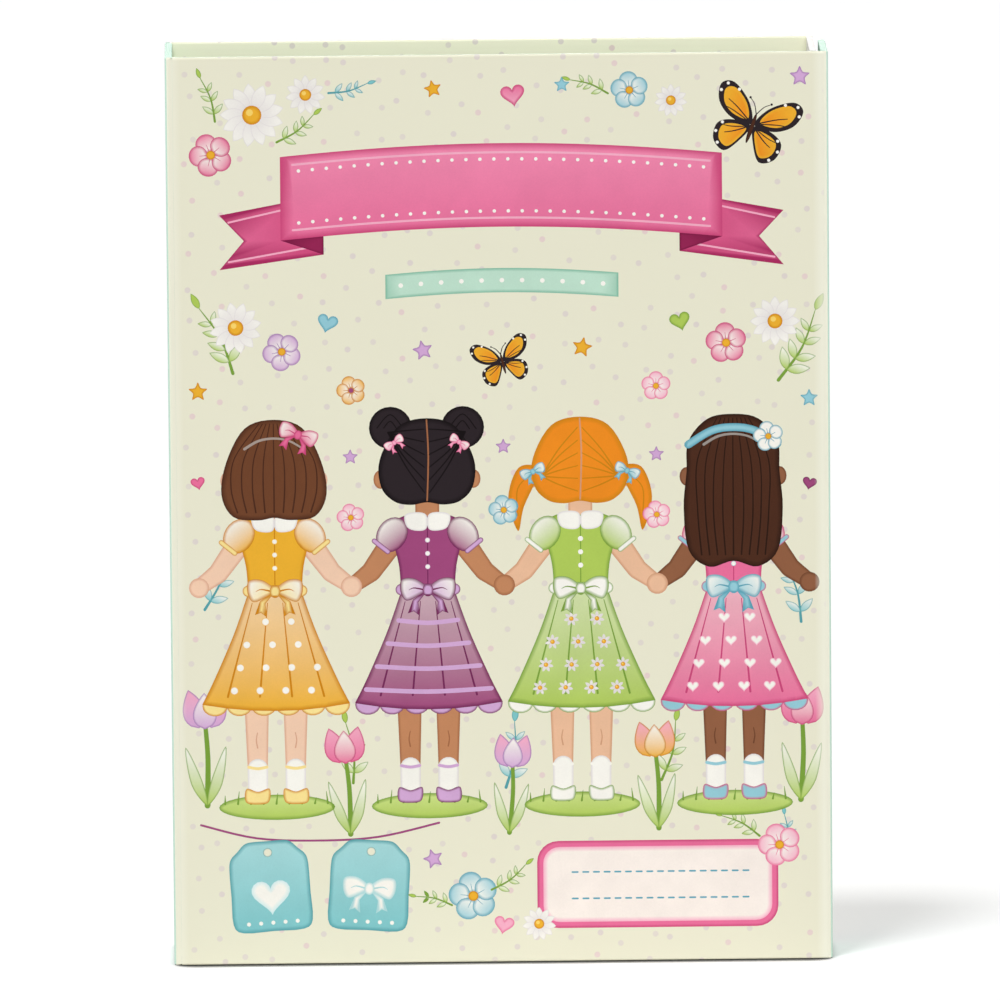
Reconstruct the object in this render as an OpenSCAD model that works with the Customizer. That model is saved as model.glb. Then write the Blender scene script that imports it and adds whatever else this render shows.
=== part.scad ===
// Paper doll kit in a book-style case of wrapped board.
// One strip of four panels goes round the case: back, spine, front cover and closing flap.
// The cover turns on the front fold of the spine, the flap on the far edge of the cover.
// Frame: X to the right (spine at -X, flap at +X), Y to the back (cover at -Y), Z up.
// Origin: middle of the footprint, on the surface that the case stands on. Millimetres.

/* [Case] */
// Width over the spine and the flap
case_w = 216; // [200:1:260]
// Depth over the cover and the back
case_d = 40; // [36:1:70]
// Height
case_h = 300; // [270:1:360]
// Depth of the closing flap, from the front of the case
flap_d = 30; // [20:1:34]

/* [Panels] */
// Thickness of the grey board inside each panel
board_t = 1.9; // [1.8:0.1:3]
// Thickness of the printed paper round each panel
wrap_t = 0.25; // [0.15:0.05:0.4]
// Thickness of the paper that lines each panel
lining_t = 0.25; // [0.15:0.05:0.4]
// Printed paper turned in over the top and bottom edges
turn_in = 3; // [2:0.5:15]
// Running gap round each paper fold
fold_gap = 0.06; // [0.04:0.01:0.12]

/* [Tray] */
// Thickness of the board inside the tray walls
wall_board_t = 1.6; // [1.4:0.1:2.4]
// Thickness of the paper round the tray walls
wall_paper_t = 0.25; // [0.15:0.05:0.4]
// Gap between the closing flap and the fore-edge wall
flap_clear = 1.4; // [0.5:0.1:3]
// Gap between the wall rims and the closed cover
rim_clear = 0.5; // [0.3:0.1:2]
// Height of the bottom wall above the standing edges
base_inset = 3; // [1:0.5:8]

/* [Magnets] */
// Diameter of the closing magnets and of their keeper discs
magnet_d = 12; // [8:1:16]
// Thickness of a closing magnet
magnet_t = 1.4; // [0.8:0.1:1.5]
// Thickness of a keeper disc
keeper_t = 1; // [0.6:0.1:1.2]
// Clearance all round a disc in its pocket
pocket_clear = 0.05; // [0.02:0.01:0.15]
// Height of the lower magnet, and drop of the upper one from the top
magnet_end = 70; // [30:1:110]
// Distance of the magnets from the free edge of the flap
magnet_edge = 10; // [9:0.5:13]

/* [Outfit sheets] */
// Thickness of one press-out sheet
sheet_t = 0.5; // [0.3:0.1:0.8]
// Gap between neighbouring sheets
sheet_gap = 0.3; // [0.2:0.05:0.6]
// Free width at each side of the sheets
sheet_side = 4; // [2:0.5:12]
// Free height above the sheets
sheet_top = 14; // [8:1:60]
// Corner radius of the sheets
sheet_corner_r = 5; // [2:0.5:12]

/* [Dolls] */
// Height of a doll
doll_h = 205; // [150:1:215]
// Thickness of the doll card
doll_t = 1.5; // [1:0.1:2]
// Height of a stand foot
foot_h = 21; // [18:1:26]
// Thickness of a stand foot
foot_t = 1.5; // [1:0.1:2]
// Height of the lap where a foot and the doll slot into each other
lap_h = 9; // [6:0.5:11]
// Clearance at each side of a slot
slot_clear = 0.15; // [0.05:0.05:0.3]
// Free length at each end of a foot
foot_end = 2; // [1:0.5:4]
// Gap under every loose piece, behind the sheets and between worn layers
loose_gap = 0.3; // [0.2:0.05:0.6]

/* [Outfits] */
// Thickness of the outfit card
outfit_t = 0.5; // [0.3:0.1:0.7]
// Width of a shoulder tab
tab_w = 5.5; // [4:0.5:7]
// Length of a shoulder tab behind the doll
tab_l = 7; // [5:0.5:8]

/* [Hidden] */
$fn = 64;
// One overrun for every cut
over = 1;
// Panels: half thickness, fold radius, and the fold axes
half_t = (board_t + wrap_t + lining_t) / 2;
fold_r = half_t;
panel_t = 2 * half_t;
seat_r = fold_r + fold_gap;
axis_x = case_w / 2 - fold_r;
axis_y = case_d / 2 - fold_r;
// Tray walls
wall_t = wall_board_t + 2 * wall_paper_t;
wall_out_x = case_w / 2 - panel_t - flap_clear;
wall_in_x = wall_out_x - wall_t;
in_left_x = -case_w / 2 + panel_t;
in_front_y = -case_d / 2 + panel_t;
in_back_y = case_d / 2 - panel_t;
rim_y = in_front_y + rim_clear;
floor_z = base_inset + wall_t;
loose_z = floor_z + loose_gap;
in_w = wall_in_x - in_left_x;
// Panel lengths between fold axes, or from a free edge to a fold axis
back_len = wall_out_x + axis_x;
spine_len = 2 * axis_y;
cover_len = 2 * axis_x;
flap_len = flap_d - fold_r;
// Magnets
magnet_zs = [magnet_end, case_h - magnet_end];
magnet_y = -case_d / 2 + flap_d - magnet_edge;
// Sheets, counted from the back of the case
sheet_count = 4;
sheet_pitch = sheet_t + sheet_gap;
sheet_w = in_w - 2 * sheet_side;
sheet_h = case_h - sheet_top - loose_z;
sheets_y = in_back_y - loose_gap - sheet_t - (sheet_count - 1) * sheet_pitch;
// Dolls: two, each in the middle of its half of the case
free_d = sheets_y - in_front_y;
doll_y = (sheets_y + in_front_y) / 2;
doll_a_x = in_left_x + in_w / 4;
doll_b_x = in_left_x + in_w * 3 / 4;
foot_l = free_d - 2 * foot_end;
foot_arc_r = (foot_l * foot_l / 4 + foot_h * foot_h) / (2 * foot_h);
foot_x_share = 0.068;
foot_xs = [-foot_x_share * doll_h, foot_x_share * doll_h];
// Doll outline, as shares of the doll's height: each limb runs from [x, z, radius] to [x, z, radius]
base_shares = [[-0.08, 0.02, 0.066], [0.08, 0.02, 0.066]];
leg_shares = [[0.032, 0.44, 0.032], [0.031, 0.2, 0.02], [0.028, 0.1, 0.016]];
shoe_shares = [[0.028, 0.098, 0.018], [0.04, 0.088, 0.019]];
torso_shares = [[0, 0.61, 0.05], [0, 0.535, 0.046], [0, 0.465, 0.058]];
shoulder_shares = [[-0.07, 0.655, 0.02], [0.07, 0.655, 0.02]];
arm_shares = [[0.072, 0.65, 0.02], [0.108, 0.535, 0.016], [0.148, 0.432, 0.0125]];
hand_shares = [[0.148, 0.432, 0.0125], [0.157, 0.414, 0.018]];
neck_shares = [[0, 0.65, 0.021], [0, 0.74, 0.021]];
head_shares = [[0, 0.818, 0.092], [0, 0.845, 0.111]];
bob_shares = [[0.06, 0.86, 0.06], [0.078, 0.782, 0.045]];
bow_shares = [[0, 0.955, 0.016], [0.046, 0.966, 0.033]];
bun_shares = [[0, 0.85, 0.05], [0.05, 0.885, 0.048], [0.084, 0.934, 0.051]];
// Outfit outlines, in shares of the doll's height
strap_x_share = 0.049;
strap_low_share = 0.6;
bodice_shares = [[-0.064, 0.63], [0.064, 0.63], [0.06, 0.585], [0.05, 0.53],
                 [-0.05, 0.53], [-0.06, 0.585]];
skirt_shares = [[-0.05, 0.535], [0.05, 0.535], [0.142, 0.3], [-0.142, 0.3]];
scallop_count = 6;
coat_shares = [[-0.075, 0.63], [0.075, 0.63], [0.062, 0.55], [0.098, 0.36],
               [-0.098, 0.36], [-0.062, 0.55]];
sleeve_shares = [[0.07, 0.635, 0.029], [0.108, 0.535, 0.025], [0.141, 0.45, 0.023]];
// Straight steps in the round end of a limb
arc_steps = 12;
// Layers worn by a doll, from front to back
outfit_y = doll_y - doll_t / 2 - loose_gap - outfit_t / 2;
tab_y = doll_y + doll_t / 2 + loose_gap;
crease_r = outfit_t / 2;
shoulder_z = loose_z + (shoulder_shares[0][1] + shoulder_shares[0][2]) * doll_h;
crease_z = shoulder_z + loose_gap + crease_r;
strap_x = strap_x_share * doll_h;
// Colours
cream = [0.91, 0.9, 0.81];
mint = [0.74, 0.88, 0.8];
grey_board = [0.62, 0.6, 0.56];
nickel = [0.72, 0.72, 0.74];
steel = [0.55, 0.56, 0.58];
card_white = [0.96, 0.95, 0.92];
skin_card = [0.95, 0.8, 0.7];
pink_card = [0.91, 0.5, 0.66];
aqua_card = [0.6, 0.8, 0.84];

// Panel section in its own frame: length along u, outer face at v = -half_t, inner at +half_t.
// At a fold where the panel starts, it stops square, clear of the roll, so that it can turn half round.
module panel_section(len, u0, u1, v0, v1, start_fold, end_fold) {
    difference() {
        translate([u0, v0])
            square([u1 - u0, v1 - v0]);
        if (start_fold)
            translate([-over, -half_t - over])
                square([seat_r + over, panel_t + 2 * over]);
        if (end_fold)
            translate([len, 0])
                circle(r = seat_r);
    }
}

// Printed paper: the outer sheet, its returns over the edges and the turned-in strips
module panel_wrap(len, start_fold, end_fold) {
    linear_extrude(case_h)
        panel_section(len, 0, len, -half_t, -half_t + wrap_t, start_fold, end_fold);
    for (z = [0, case_h - wrap_t])
        translate([0, 0, z])
            linear_extrude(wrap_t)
                panel_section(len, 0, len, -half_t, half_t, start_fold, end_fold);
    for (z = [0, case_h - turn_in])
        translate([0, 0, z])
            linear_extrude(turn_in)
                panel_section(len, 0, len, half_t - lining_t, half_t, start_fold, end_fold);
    if (!start_fold)
        linear_extrude(case_h)
            panel_section(len, 0, wrap_t, -half_t, half_t, false, false);
    if (!end_fold)
        linear_extrude(case_h)
            panel_section(len, len - wrap_t, len, -half_t, half_t, false, false);
}

// Board, inside the printed paper
module panel_board(len, start_fold, end_fold) {
    translate([0, 0, wrap_t])
        linear_extrude(case_h - 2 * wrap_t)
            panel_section(len, start_fold ? 0 : wrap_t, end_fold ? len : len - wrap_t,
                          -half_t + wrap_t, half_t - lining_t, start_fold, end_fold);
}

// Lining paper, between the turned-in strips
module panel_lining(len, start_fold, end_fold) {
    translate([0, 0, turn_in])
        linear_extrude(case_h - 2 * turn_in)
            panel_section(len, start_fold ? 0 : wrap_t, end_fold ? len : len - wrap_t,
                          half_t - lining_t, half_t, start_fold, end_fold);
}

// Places of the four panels round the case
module at_back() {
    translate([wall_out_x, axis_y, 0])
        rotate([0, 0, 180])
            children();
}

module at_spine() {
    translate([-axis_x, axis_y, 0])
        rotate([0, 0, -90])
            children();
}

module at_cover() {
    translate([-axis_x, -axis_y, 0])
        children();
}

module at_flap() {
    translate([axis_x, -axis_y, 0])
        rotate([0, 0, 90])
            children();
}

// Disc lying in a wall, from its flat face at x towards +X
module discs(x, d, t) {
    for (z = magnet_zs)
        translate([x, magnet_y, z])
            rotate([0, 90, 0])
                cylinder(d = d, h = t);
}

module back_board() {
    color(grey_board)
        at_back()
            panel_board(back_len, false, true);
}

module back_wrap() {
    color(cream)
        at_back()
            panel_wrap(back_len, false, true);
}

module back_lining() {
    color(cream)
        at_back()
            panel_lining(back_len, false, true);
}

module spine_board() {
    color(grey_board)
        at_spine()
            panel_board(spine_len, true, true);
}

module spine_wrap() {
    color(mint)
        at_spine()
            panel_wrap(spine_len, true, true);
}

module spine_lining() {
    color(mint)
        at_spine()
            panel_lining(spine_len, true, true);
}

module cover_board() {
    color(grey_board)
        at_cover()
            panel_board(cover_len, true, true);
}

module cover_wrap() {
    color(cream)
        at_cover()
            panel_wrap(cover_len, true, true);
}

module cover_lining() {
    color(mint)
        at_cover()
            panel_lining(cover_len, true, true);
}

// The magnets lie in pockets in the inner face of the flap's board, under the lining
magnet_x = case_w / 2 - panel_t + lining_t;

module flap_board() {
    color(grey_board)
        difference() {
            at_flap()
                panel_board(flap_len, true, false);
            translate([-over, 0, 0])
                discs(magnet_x, magnet_d + 2 * pocket_clear, magnet_t + pocket_clear + over);
        }
}

module flap_wrap() {
    color(mint)
        at_flap()
            panel_wrap(flap_len, true, false);
}

module flap_lining() {
    color(mint)
        at_flap()
            panel_lining(flap_len, true, false);
}

module flap_magnets() {
    color(nickel)
        discs(magnet_x, magnet_d, magnet_t);
}

// Paper fold: a full round roll on the axis between two panels
module fold_roll() {
    cylinder(r = fold_r, h = case_h);
}

module back_fold() {
    color(mint)
        translate([-axis_x, axis_y, 0])
            fold_roll();
}

module cover_fold() {
    color(mint)
        translate([-axis_x, -axis_y, 0])
            fold_roll();
}

module flap_fold() {
    color(mint)
        translate([axis_x, -axis_y, 0])
            fold_roll();
}

// Fore-edge wall of the tray, full height, against the back panel
fore_d = in_back_y - rim_y;
keeper_x = wall_out_x - wall_paper_t - keeper_t;

module fore_wall_body(paper, back_over) {
    translate([wall_in_x + paper, rim_y + paper, paper])
        cube([wall_t - 2 * paper, fore_d - paper + back_over, case_h - 2 * paper]);
}

module fore_wall_board() {
    color(grey_board)
        difference() {
            fore_wall_body(wall_paper_t, 0);
            discs(keeper_x - pocket_clear, magnet_d + 2 * pocket_clear, keeper_t + pocket_clear + over);
        }
}

module fore_wall_wrap() {
    color(cream)
        difference() {
            fore_wall_body(0, 0);
            fore_wall_body(wall_paper_t, over);
        }
}

module keeper_discs() {
    color(steel)
        discs(keeper_x, magnet_d, keeper_t);
}

// Bottom wall of the tray, from the spine to the fore-edge wall
module bottom_wall_body(paper, end_over, back_over) {
    translate([in_left_x - end_over, rim_y + paper, base_inset + paper])
        cube([in_w + 2 * end_over, fore_d - paper + back_over, wall_t - 2 * paper]);
}

module bottom_wall_board() {
    color(grey_board)
        bottom_wall_body(wall_paper_t, 0, 0);
}

module bottom_wall_wrap() {
    color(cream)
        difference() {
            bottom_wall_body(0, 0, 0);
            bottom_wall_body(wall_paper_t, over, over);
        }
}

// Press-out sheets with round corners, standing behind the dolls
module sheet_outline() {
    translate([sheet_corner_r, 0])
        square([sheet_w - 2 * sheet_corner_r, sheet_h]);
    translate([0, sheet_corner_r])
        square([sheet_w, sheet_h - 2 * sheet_corner_r]);
    for (x = [sheet_corner_r, sheet_w - sheet_corner_r], y = [sheet_corner_r, sheet_h - sheet_corner_r])
        translate([x, y])
            circle(r = sheet_corner_r);
}

module outfit_sheet(place) {
    color(card_white)
        translate([in_left_x + sheet_side, in_back_y - loose_gap - (place - 1) * sheet_pitch, loose_z])
            rotate([90, 0, 0])
                linear_extrude(sheet_t)
                    sheet_outline();
}

// Upright card cut to an outline, centred on a depth
module card(x, y, z, t) {
    translate([x, y, z])
        rotate([90, 0, 0])
            linear_extrude(t, center = true)
                children();
}

// Outline of a limb: two round ends and the straight sides tangent to them
function arc(c, r, a0, a1) =
    [for (i = [0 : arc_steps])
        let (a = a0 + (a1 - a0) * i / arc_steps)
            c + r * [cos(a), sin(a)]];

module limb(from, to) {
    p = [from[0], from[1]] * doll_h;
    q = [to[0], to[1]] * doll_h;
    rp = from[2] * doll_h;
    rq = to[2] * doll_h;
    way = atan2(q[1] - p[1], q[0] - p[0]);
    lean = acos((rp - rq) / norm(q - p));
    polygon(concat(arc(p, rp, way + lean, way + 360 - lean), arc(q, rq, way - lean, way + lean)));
}

module limbs(shares) {
    for (i = [1 : len(shares) - 1])
        limb(shares[i - 1], shares[i]);
}

module both_sides() {
    children();
    mirror([1, 0])
        children();
}

// Doll: the figure on a rounded base with two slots for its stand
module doll_outline() {
    difference() {
        union() {
            limbs(base_shares);
            both_sides() {
                limbs(leg_shares);
                limbs(shoe_shares);
                limbs(arm_shares);
                limbs(hand_shares);
            }
            limbs(torso_shares);
            limbs(shoulder_shares);
            limbs(neck_shares);
            limbs(head_shares);
            children();
        }
        translate([-case_w, -doll_h])
            square([2 * case_w, doll_h]);
        for (x = foot_xs)
            translate([x - foot_t / 2 - slot_clear, -over])
                square([foot_t + 2 * slot_clear, lap_h + slot_clear + over]);
    }
}

module doll_a() {
    color(skin_card)
        card(doll_a_x, doll_y, loose_z, doll_t)
            doll_outline()
                both_sides() {
                    limbs(bob_shares);
                    limbs(bow_shares);
                }
}

module doll_b() {
    color(skin_card)
        card(doll_b_x, doll_y, loose_z, doll_t)
            doll_outline()
                both_sides()
                    limbs(bun_shares);
}

// Stand: two arched feet across the doll, slotted from above
module foot_outline() {
    difference() {
        intersection() {
            translate([0, foot_h - foot_arc_r])
                circle(r = foot_arc_r);
            translate([-foot_l / 2, 0])
                square([foot_l, foot_h + over]);
        }
        translate([-doll_t / 2 - slot_clear, lap_h])
            square([doll_t + 2 * slot_clear, foot_h]);
    }
}

module stand(x) {
    color(card_white)
        for (fx = foot_xs)
            translate([x + fx, doll_y, loose_z])
                rotate([90, 0, 90])
                    linear_extrude(foot_t, center = true)
                        foot_outline();
}

module doll_a_stand() {
    stand(doll_a_x);
}

module doll_b_stand() {
    stand(doll_b_x);
}

// Shoulder straps up to the creases of the tabs
module straps(x) {
    low_z = loose_z + strap_low_share * doll_h;
    for (side = [-1, 1]) {
        translate([x + side * strap_x - tab_w / 2, outfit_y - outfit_t / 2, low_z])
            cube([tab_w, outfit_t, crease_z - low_z]);
        translate([x + side * strap_x - tab_w / 2, outfit_y, crease_z])
            rotate([0, 90, 0])
                cylinder(r = crease_r, h = tab_w);
    }
}

// Shoulder tab: over the shoulder and down behind the doll
module tab(x, side) {
    start_y = outfit_y + crease_r + fold_gap;
    translate([x + side * strap_x - tab_w / 2, 0, crease_z]) {
        translate([0, start_y, -outfit_t / 2])
            cube([tab_w, tab_y + outfit_t - start_y, outfit_t]);
        translate([0, tab_y, -tab_l])
            cube([tab_w, outfit_t, tab_l]);
    }
}

// Dress: bodice, flared skirt and a scalloped hem
module dress_outline() {
    hem = skirt_shares[2] * doll_h;
    scallop_r = hem[0] / scallop_count;
    polygon(bodice_shares * doll_h);
    polygon(skirt_shares * doll_h);
    for (i = [0 : scallop_count - 1])
        translate([-hem[0] + (2 * i + 1) * scallop_r, hem[1]])
            circle(r = scallop_r);
}

module doll_a_dress() {
    color(pink_card) {
        card(doll_a_x, outfit_y, loose_z, outfit_t)
            dress_outline();
        straps(doll_a_x);
    }
}

// Coat: body and sleeves
module coat_outline() {
    polygon(coat_shares * doll_h);
    both_sides()
        limbs(sleeve_shares);
}

module doll_b_coat() {
    color(aqua_card) {
        card(doll_b_x, outfit_y, loose_z, outfit_t)
            coat_outline();
        straps(doll_b_x);
    }
}

module doll_a_tab_left() {
    color(card_white)
        tab(doll_a_x, -1);
}

module doll_a_tab_right() {
    color(card_white)
        tab(doll_a_x, 1);
}

module doll_b_tab_left() {
    color(card_white)
        tab(doll_b_x, -1);
}

module doll_b_tab_right() {
    color(card_white)
        tab(doll_b_x, 1);
}

back_board();
back_wrap();
back_lining();
spine_board();
spine_wrap();
spine_lining();
cover_board();
cover_wrap();
cover_lining();
flap_board();
flap_wrap();
flap_lining();
back_fold();
cover_fold();
flap_fold();
fore_wall_board();
fore_wall_wrap();
bottom_wall_board();
bottom_wall_wrap();
flap_magnets();
keeper_discs();
outfit_sheet(1);  // outfit_sheet_1
outfit_sheet(2);  // outfit_sheet_2
outfit_sheet(3);  // outfit_sheet_3
outfit_sheet(4);  // outfit_sheet_4
doll_a();
doll_a_stand();
doll_a_dress();
doll_a_tab_left();
doll_a_tab_right();
doll_b();
doll_b_stand();
doll_b_coat();
doll_b_tab_left();
doll_b_tab_right();
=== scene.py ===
import math

import bpy
import numpy as np
from mathutils import Matrix, Vector
from mathutils.geometry import delaunay_2d_cdt

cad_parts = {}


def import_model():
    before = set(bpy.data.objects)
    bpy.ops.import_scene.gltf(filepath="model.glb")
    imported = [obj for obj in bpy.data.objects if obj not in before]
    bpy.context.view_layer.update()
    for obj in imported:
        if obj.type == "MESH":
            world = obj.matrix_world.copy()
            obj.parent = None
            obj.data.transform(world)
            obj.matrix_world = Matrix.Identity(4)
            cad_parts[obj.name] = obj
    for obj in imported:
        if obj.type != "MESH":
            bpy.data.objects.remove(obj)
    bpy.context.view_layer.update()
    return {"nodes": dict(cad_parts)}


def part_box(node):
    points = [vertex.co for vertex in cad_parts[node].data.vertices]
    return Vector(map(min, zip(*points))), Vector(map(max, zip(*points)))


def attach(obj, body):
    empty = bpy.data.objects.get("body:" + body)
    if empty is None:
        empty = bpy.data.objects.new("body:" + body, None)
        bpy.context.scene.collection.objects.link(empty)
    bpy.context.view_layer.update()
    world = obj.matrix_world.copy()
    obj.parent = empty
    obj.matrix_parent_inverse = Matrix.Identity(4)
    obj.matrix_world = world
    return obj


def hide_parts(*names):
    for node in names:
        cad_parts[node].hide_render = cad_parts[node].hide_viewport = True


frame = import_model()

bl_info = {
    "name": "Paper Doll Kit Case",
    "version": (1, 0, 0),
    "blender": (4, 5, 0),
    "location": "3D View > Sidebar > Kit Case",
    "description": "Printed papers, card figures and studio for a book-style paper doll kit case",
    "category": "Object",
}

MM = 0.001
NODES = frame["nodes"]


# Colours, written as printed on paper (0 to 255) and used as light values

def ink(r, g, b):
    return tuple((c / 255 / 12.92) if c <= 10 else ((c / 255 + 0.055) / 1.055) ** 2.4 for c in (r, g, b))


def blend(a, b, share):
    """Ink between two inks."""
    return tuple((1 - share) * p + share * q for p, q in zip(a, b))


CREAM = ink(236, 234, 211)
# Cream painted lighter for the papers inside the case: painted light that makes up for the shade there
CREAM_PAINTED_LIGHTER_INSIDE = ink(251, 250, 224)
MINT = ink(186, 222, 202)
LILAC_DOT = ink(220, 208, 208)
PINK = ink(233, 112, 156)
PINK_PALE = ink(246, 176, 200)
PINK_DEEP = ink(205, 72, 122)
AQUA = ink(150, 204, 216)
AQUA_DEEP = ink(92, 164, 184)
LIME = ink(176, 204, 92)
LIME_DEEP = ink(122, 160, 62)
GOLD = ink(238, 178, 52)
GOLD_DEEP = ink(206, 132, 24)
PLUM = ink(160, 74, 124)
PLUM_DEEP = ink(116, 44, 88)
LILAC = ink(212, 170, 214)
LILAC_DEEP = ink(168, 122, 180)
WHITE = ink(250, 248, 240)
SHADE = ink(228, 222, 221)
TEAL = ink(128, 198, 202)
TEAL_DEEP = ink(84, 160, 168)
BLACK = ink(44, 36, 40)
BROWN = ink(112, 68, 44)
BROWN_DEEP = ink(76, 44, 30)
AMBER = ink(240, 142, 34)
SKINS = [ink(244, 206, 178), ink(196, 136, 96), ink(236, 190, 156), ink(146, 96, 68)]
SKIN_EDGES = [ink(222, 168, 140), ink(164, 106, 72), ink(212, 156, 122), ink(112, 70, 48)]

# Inks that are printed together: a body and its rim
PINKS = (PINK, PINK_DEEP)
PALES = (PINK_PALE, PINK)
AQUAS = (AQUA, AQUA_DEEP)
LIMES = (LIME, LIME_DEEP)
GOLDS = (GOLD, GOLD_DEEP)
PLUMS = (PLUM, PLUM_DEEP)
LILACS = (LILAC, LILAC_DEEP)
TEALS = (TEAL, TEAL_DEEP)
BROWNS = (BROWN, BROWN_DEEP)

# Lengths of the papers and card pieces, in millimetres
LINING_THICK = 0.25
FOLD_GAP = 0.06
FOLD_KEEP = 0.38
DOLL_TALL = 205.0
PRINT_LIFT = 0.03
CUT_LIFT = 0.045
CARD_BORDER = 0.6
SHEET_ROUND = 4.6

# Places on a piece's texture sheet, as shares of it
UV_MARGIN = 0.01
UV_SPAN = 0.98
CELLS_ROW = 48

# Stage
FLOOR_CORNERS = [(-30, -30, 0), (30, -30, 0), (30, 60, 0), (-30, 60, 0)]
FLOOR_TONE = (0.95, 0.95, 0.95, 1)
FLOOR_GLOW = 0.46
# Painted contact shadow on the floor: how far and which way it looks for the case, where it starts, how
# fast it darkens, and its tone
CONTACT_REACH = 9 * MM
CONTACT_WAY = [0.0, 0.87, 0.5]
CONTACT_FROM = 0.4
CONTACT_GAIN = 3.0
CONTACT_SHADOW_TONE = (0.05, 0.05, 0.045, 1)
GLOSSY_SHARE = 0.4
KEY_ANGLE = math.radians(10)
FILL_ANGLE = math.radians(34)
LAMP_SIZE = 1.6
LAMP_POWER = 2.0
LAMP_PLACE = (-0.9, -1.6, 1.9)
LAMP_AIM = (0, 0, 0.15)
VIEW_TARGET = (0.00028, 0.0, 0.15015)
SENSOR = 36.0


# Shader expressions

class Val:
    """A shader socket that Python's operators work on."""

    def __init__(self, finish, socket):
        self.finish = finish
        self.socket = socket

    def math(self, operation, *others):
        return self.finish.node("ShaderNodeMath", {"operation": operation}, [self, *others])

    def __add__(self, o):
        return self.math("ADD", o)

    def __radd__(self, o):
        return self.math("ADD", o)

    def __sub__(self, o):
        return self.math("SUBTRACT", o)

    def __rsub__(self, o):
        return self.finish.node("ShaderNodeMath", {"operation": "SUBTRACT"}, [o, self])

    def __mul__(self, o):
        return self.math("MULTIPLY", o)

    def __truediv__(self, o):
        return self.math("DIVIDE", o)

    def floor(self):
        return self.math("FLOOR")

    def clamp(self):
        return self.finish.node("ShaderNodeClamp", {}, [self, 0.0, 1.0])

    def above(self, o):
        return self.math("GREATER_THAN", o)


class Finish:
    """One material: its nodes are made by the single method below."""

    def __init__(self, name, rough=0.5):
        self.mat = bpy.data.materials.new(name)
        self.mat.use_nodes = True
        self.tree = self.mat.node_tree
        self.bsdf = self.tree.nodes["Principled BSDF"]
        self.bsdf.inputs["Roughness"].default_value = rough
        place = self.node("ShaderNodeTexCoord", {}, [], "Object")
        self.place = place
        self.x = self.node("ShaderNodeSeparateXYZ", {}, [place], "X")
        sep = self.x.socket.node
        self.y = Val(self, sep.outputs["Y"])
        self.z = Val(self, sep.outputs["Z"])

    def node(self, kind, settings, inputs, output=0):
        n = self.tree.nodes.new(kind)
        for key, value in settings.items():
            setattr(n, key, value)
        pairs = inputs.items() if isinstance(inputs, dict) else enumerate(inputs)
        for key, value in pairs:
            if isinstance(value, Val):
                self.tree.links.new(value.socket, n.inputs[key])
            else:
                n.inputs[key].default_value = value
        return Val(self, n.outputs[output])

    def noise(self, scale, detail=2.0, rough=0.5, where=None):
        return self.node("ShaderNodeTexNoise", {}, {"Vector": where or self.place, "Scale": scale,
                                                    "Detail": detail, "Roughness": rough}, "Fac")

    def mix(self, a, b, share):
        a = (*a, 1) if isinstance(a, tuple) else a
        b = (*b, 1) if isinstance(b, tuple) else b
        return self.node("ShaderNodeMix", {"data_type": "RGBA"}, {0: share, 6: a, 7: b}, 2)

    def tint(self, colour, value):
        """Colour times a value, kept a colour."""
        grey = self.node("ShaderNodeCombineColor", {}, [value, value, value])
        colour = (*colour, 1) if isinstance(colour, tuple) else colour
        return self.node("ShaderNodeMix", {"data_type": "RGBA", "blend_type": "MULTIPLY"},
                         {0: 1.0, 6: colour, 7: grey}, 2)

    def dots(self, a, b, look, ground=None, dot=None, seed=3.0):
        """A ground with a loose, staggered print of dots in two tints over two coordinates."""
        col = (a / look.dot_across).floor()
        rows = b / look.dot_up + col.math("MODULO", 2.0).math("ABSOLUTE") * 0.5
        row = rows.floor()
        cell = self.node("ShaderNodeCombineXYZ", {}, [col, row, seed])
        rnd = self.node("ShaderNodeTexWhiteNoise", {"noise_dimensions": "3D"}, {"Vector": cell}, "Color")
        jx = self.node("ShaderNodeSeparateColor", {}, [rnd], 0)
        jy, hue = Val(self, jx.socket.node.outputs[1]), Val(self, jx.socket.node.outputs[2])
        da = (a / look.dot_across - col - 0.5 - (jx - 0.5) * look.dot_stray) * look.dot_across
        db = (rows - row - 0.5 - (jy - 0.5) * look.dot_stray) * look.dot_up
        d = (da * da + db * db).math("SQRT")
        mask = ((look.dot_size / 2 - d) / (0.3 * MM) + 0.5).clamp()
        tint = self.mix(dot or tuple(look.dot), dot or tuple(look.dot_rose), hue.above(0.8))
        return self.mix(ground or tuple(look.cream), tint, mask * (0.5 + hue * 0.26))

    def bump(self, height, distance, strength=1.0):
        n = self.node("ShaderNodeBump", {},
                      {"Height": height, "Distance": distance, "Strength": strength}, "Normal")
        self.tree.links.new(n.socket, self.bsdf.inputs["Normal"])

    def use(self, socket, value):
        self.tree.links.new(value.socket, self.bsdf.inputs[socket])

    def paper(self, colour, rough=0.5):
        """Laminated paper: faint fibre grain, a soft wave and small changes of sheen."""
        fibre = self.noise(2600.0, 3.0, 0.6)
        wave = self.noise(18.0, 2.0, 0.5)
        spots = self.noise(240.0, 2.0, 0.5)
        shade = 0.975 + fibre * 0.03 + wave * 0.02
        self.use("Base Color", self.tint(colour, shade))
        self.use("Roughness", (rough - 0.05) + spots * 0.1)
        self.bsdf.inputs["Specular IOR Level"].default_value = 0.05
        self.bump(fibre * 0.012 + wave * 0.35 + spots * 0.03, 0.4 * MM, 0.35)
        return self.mat


FINISHES = {}


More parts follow.
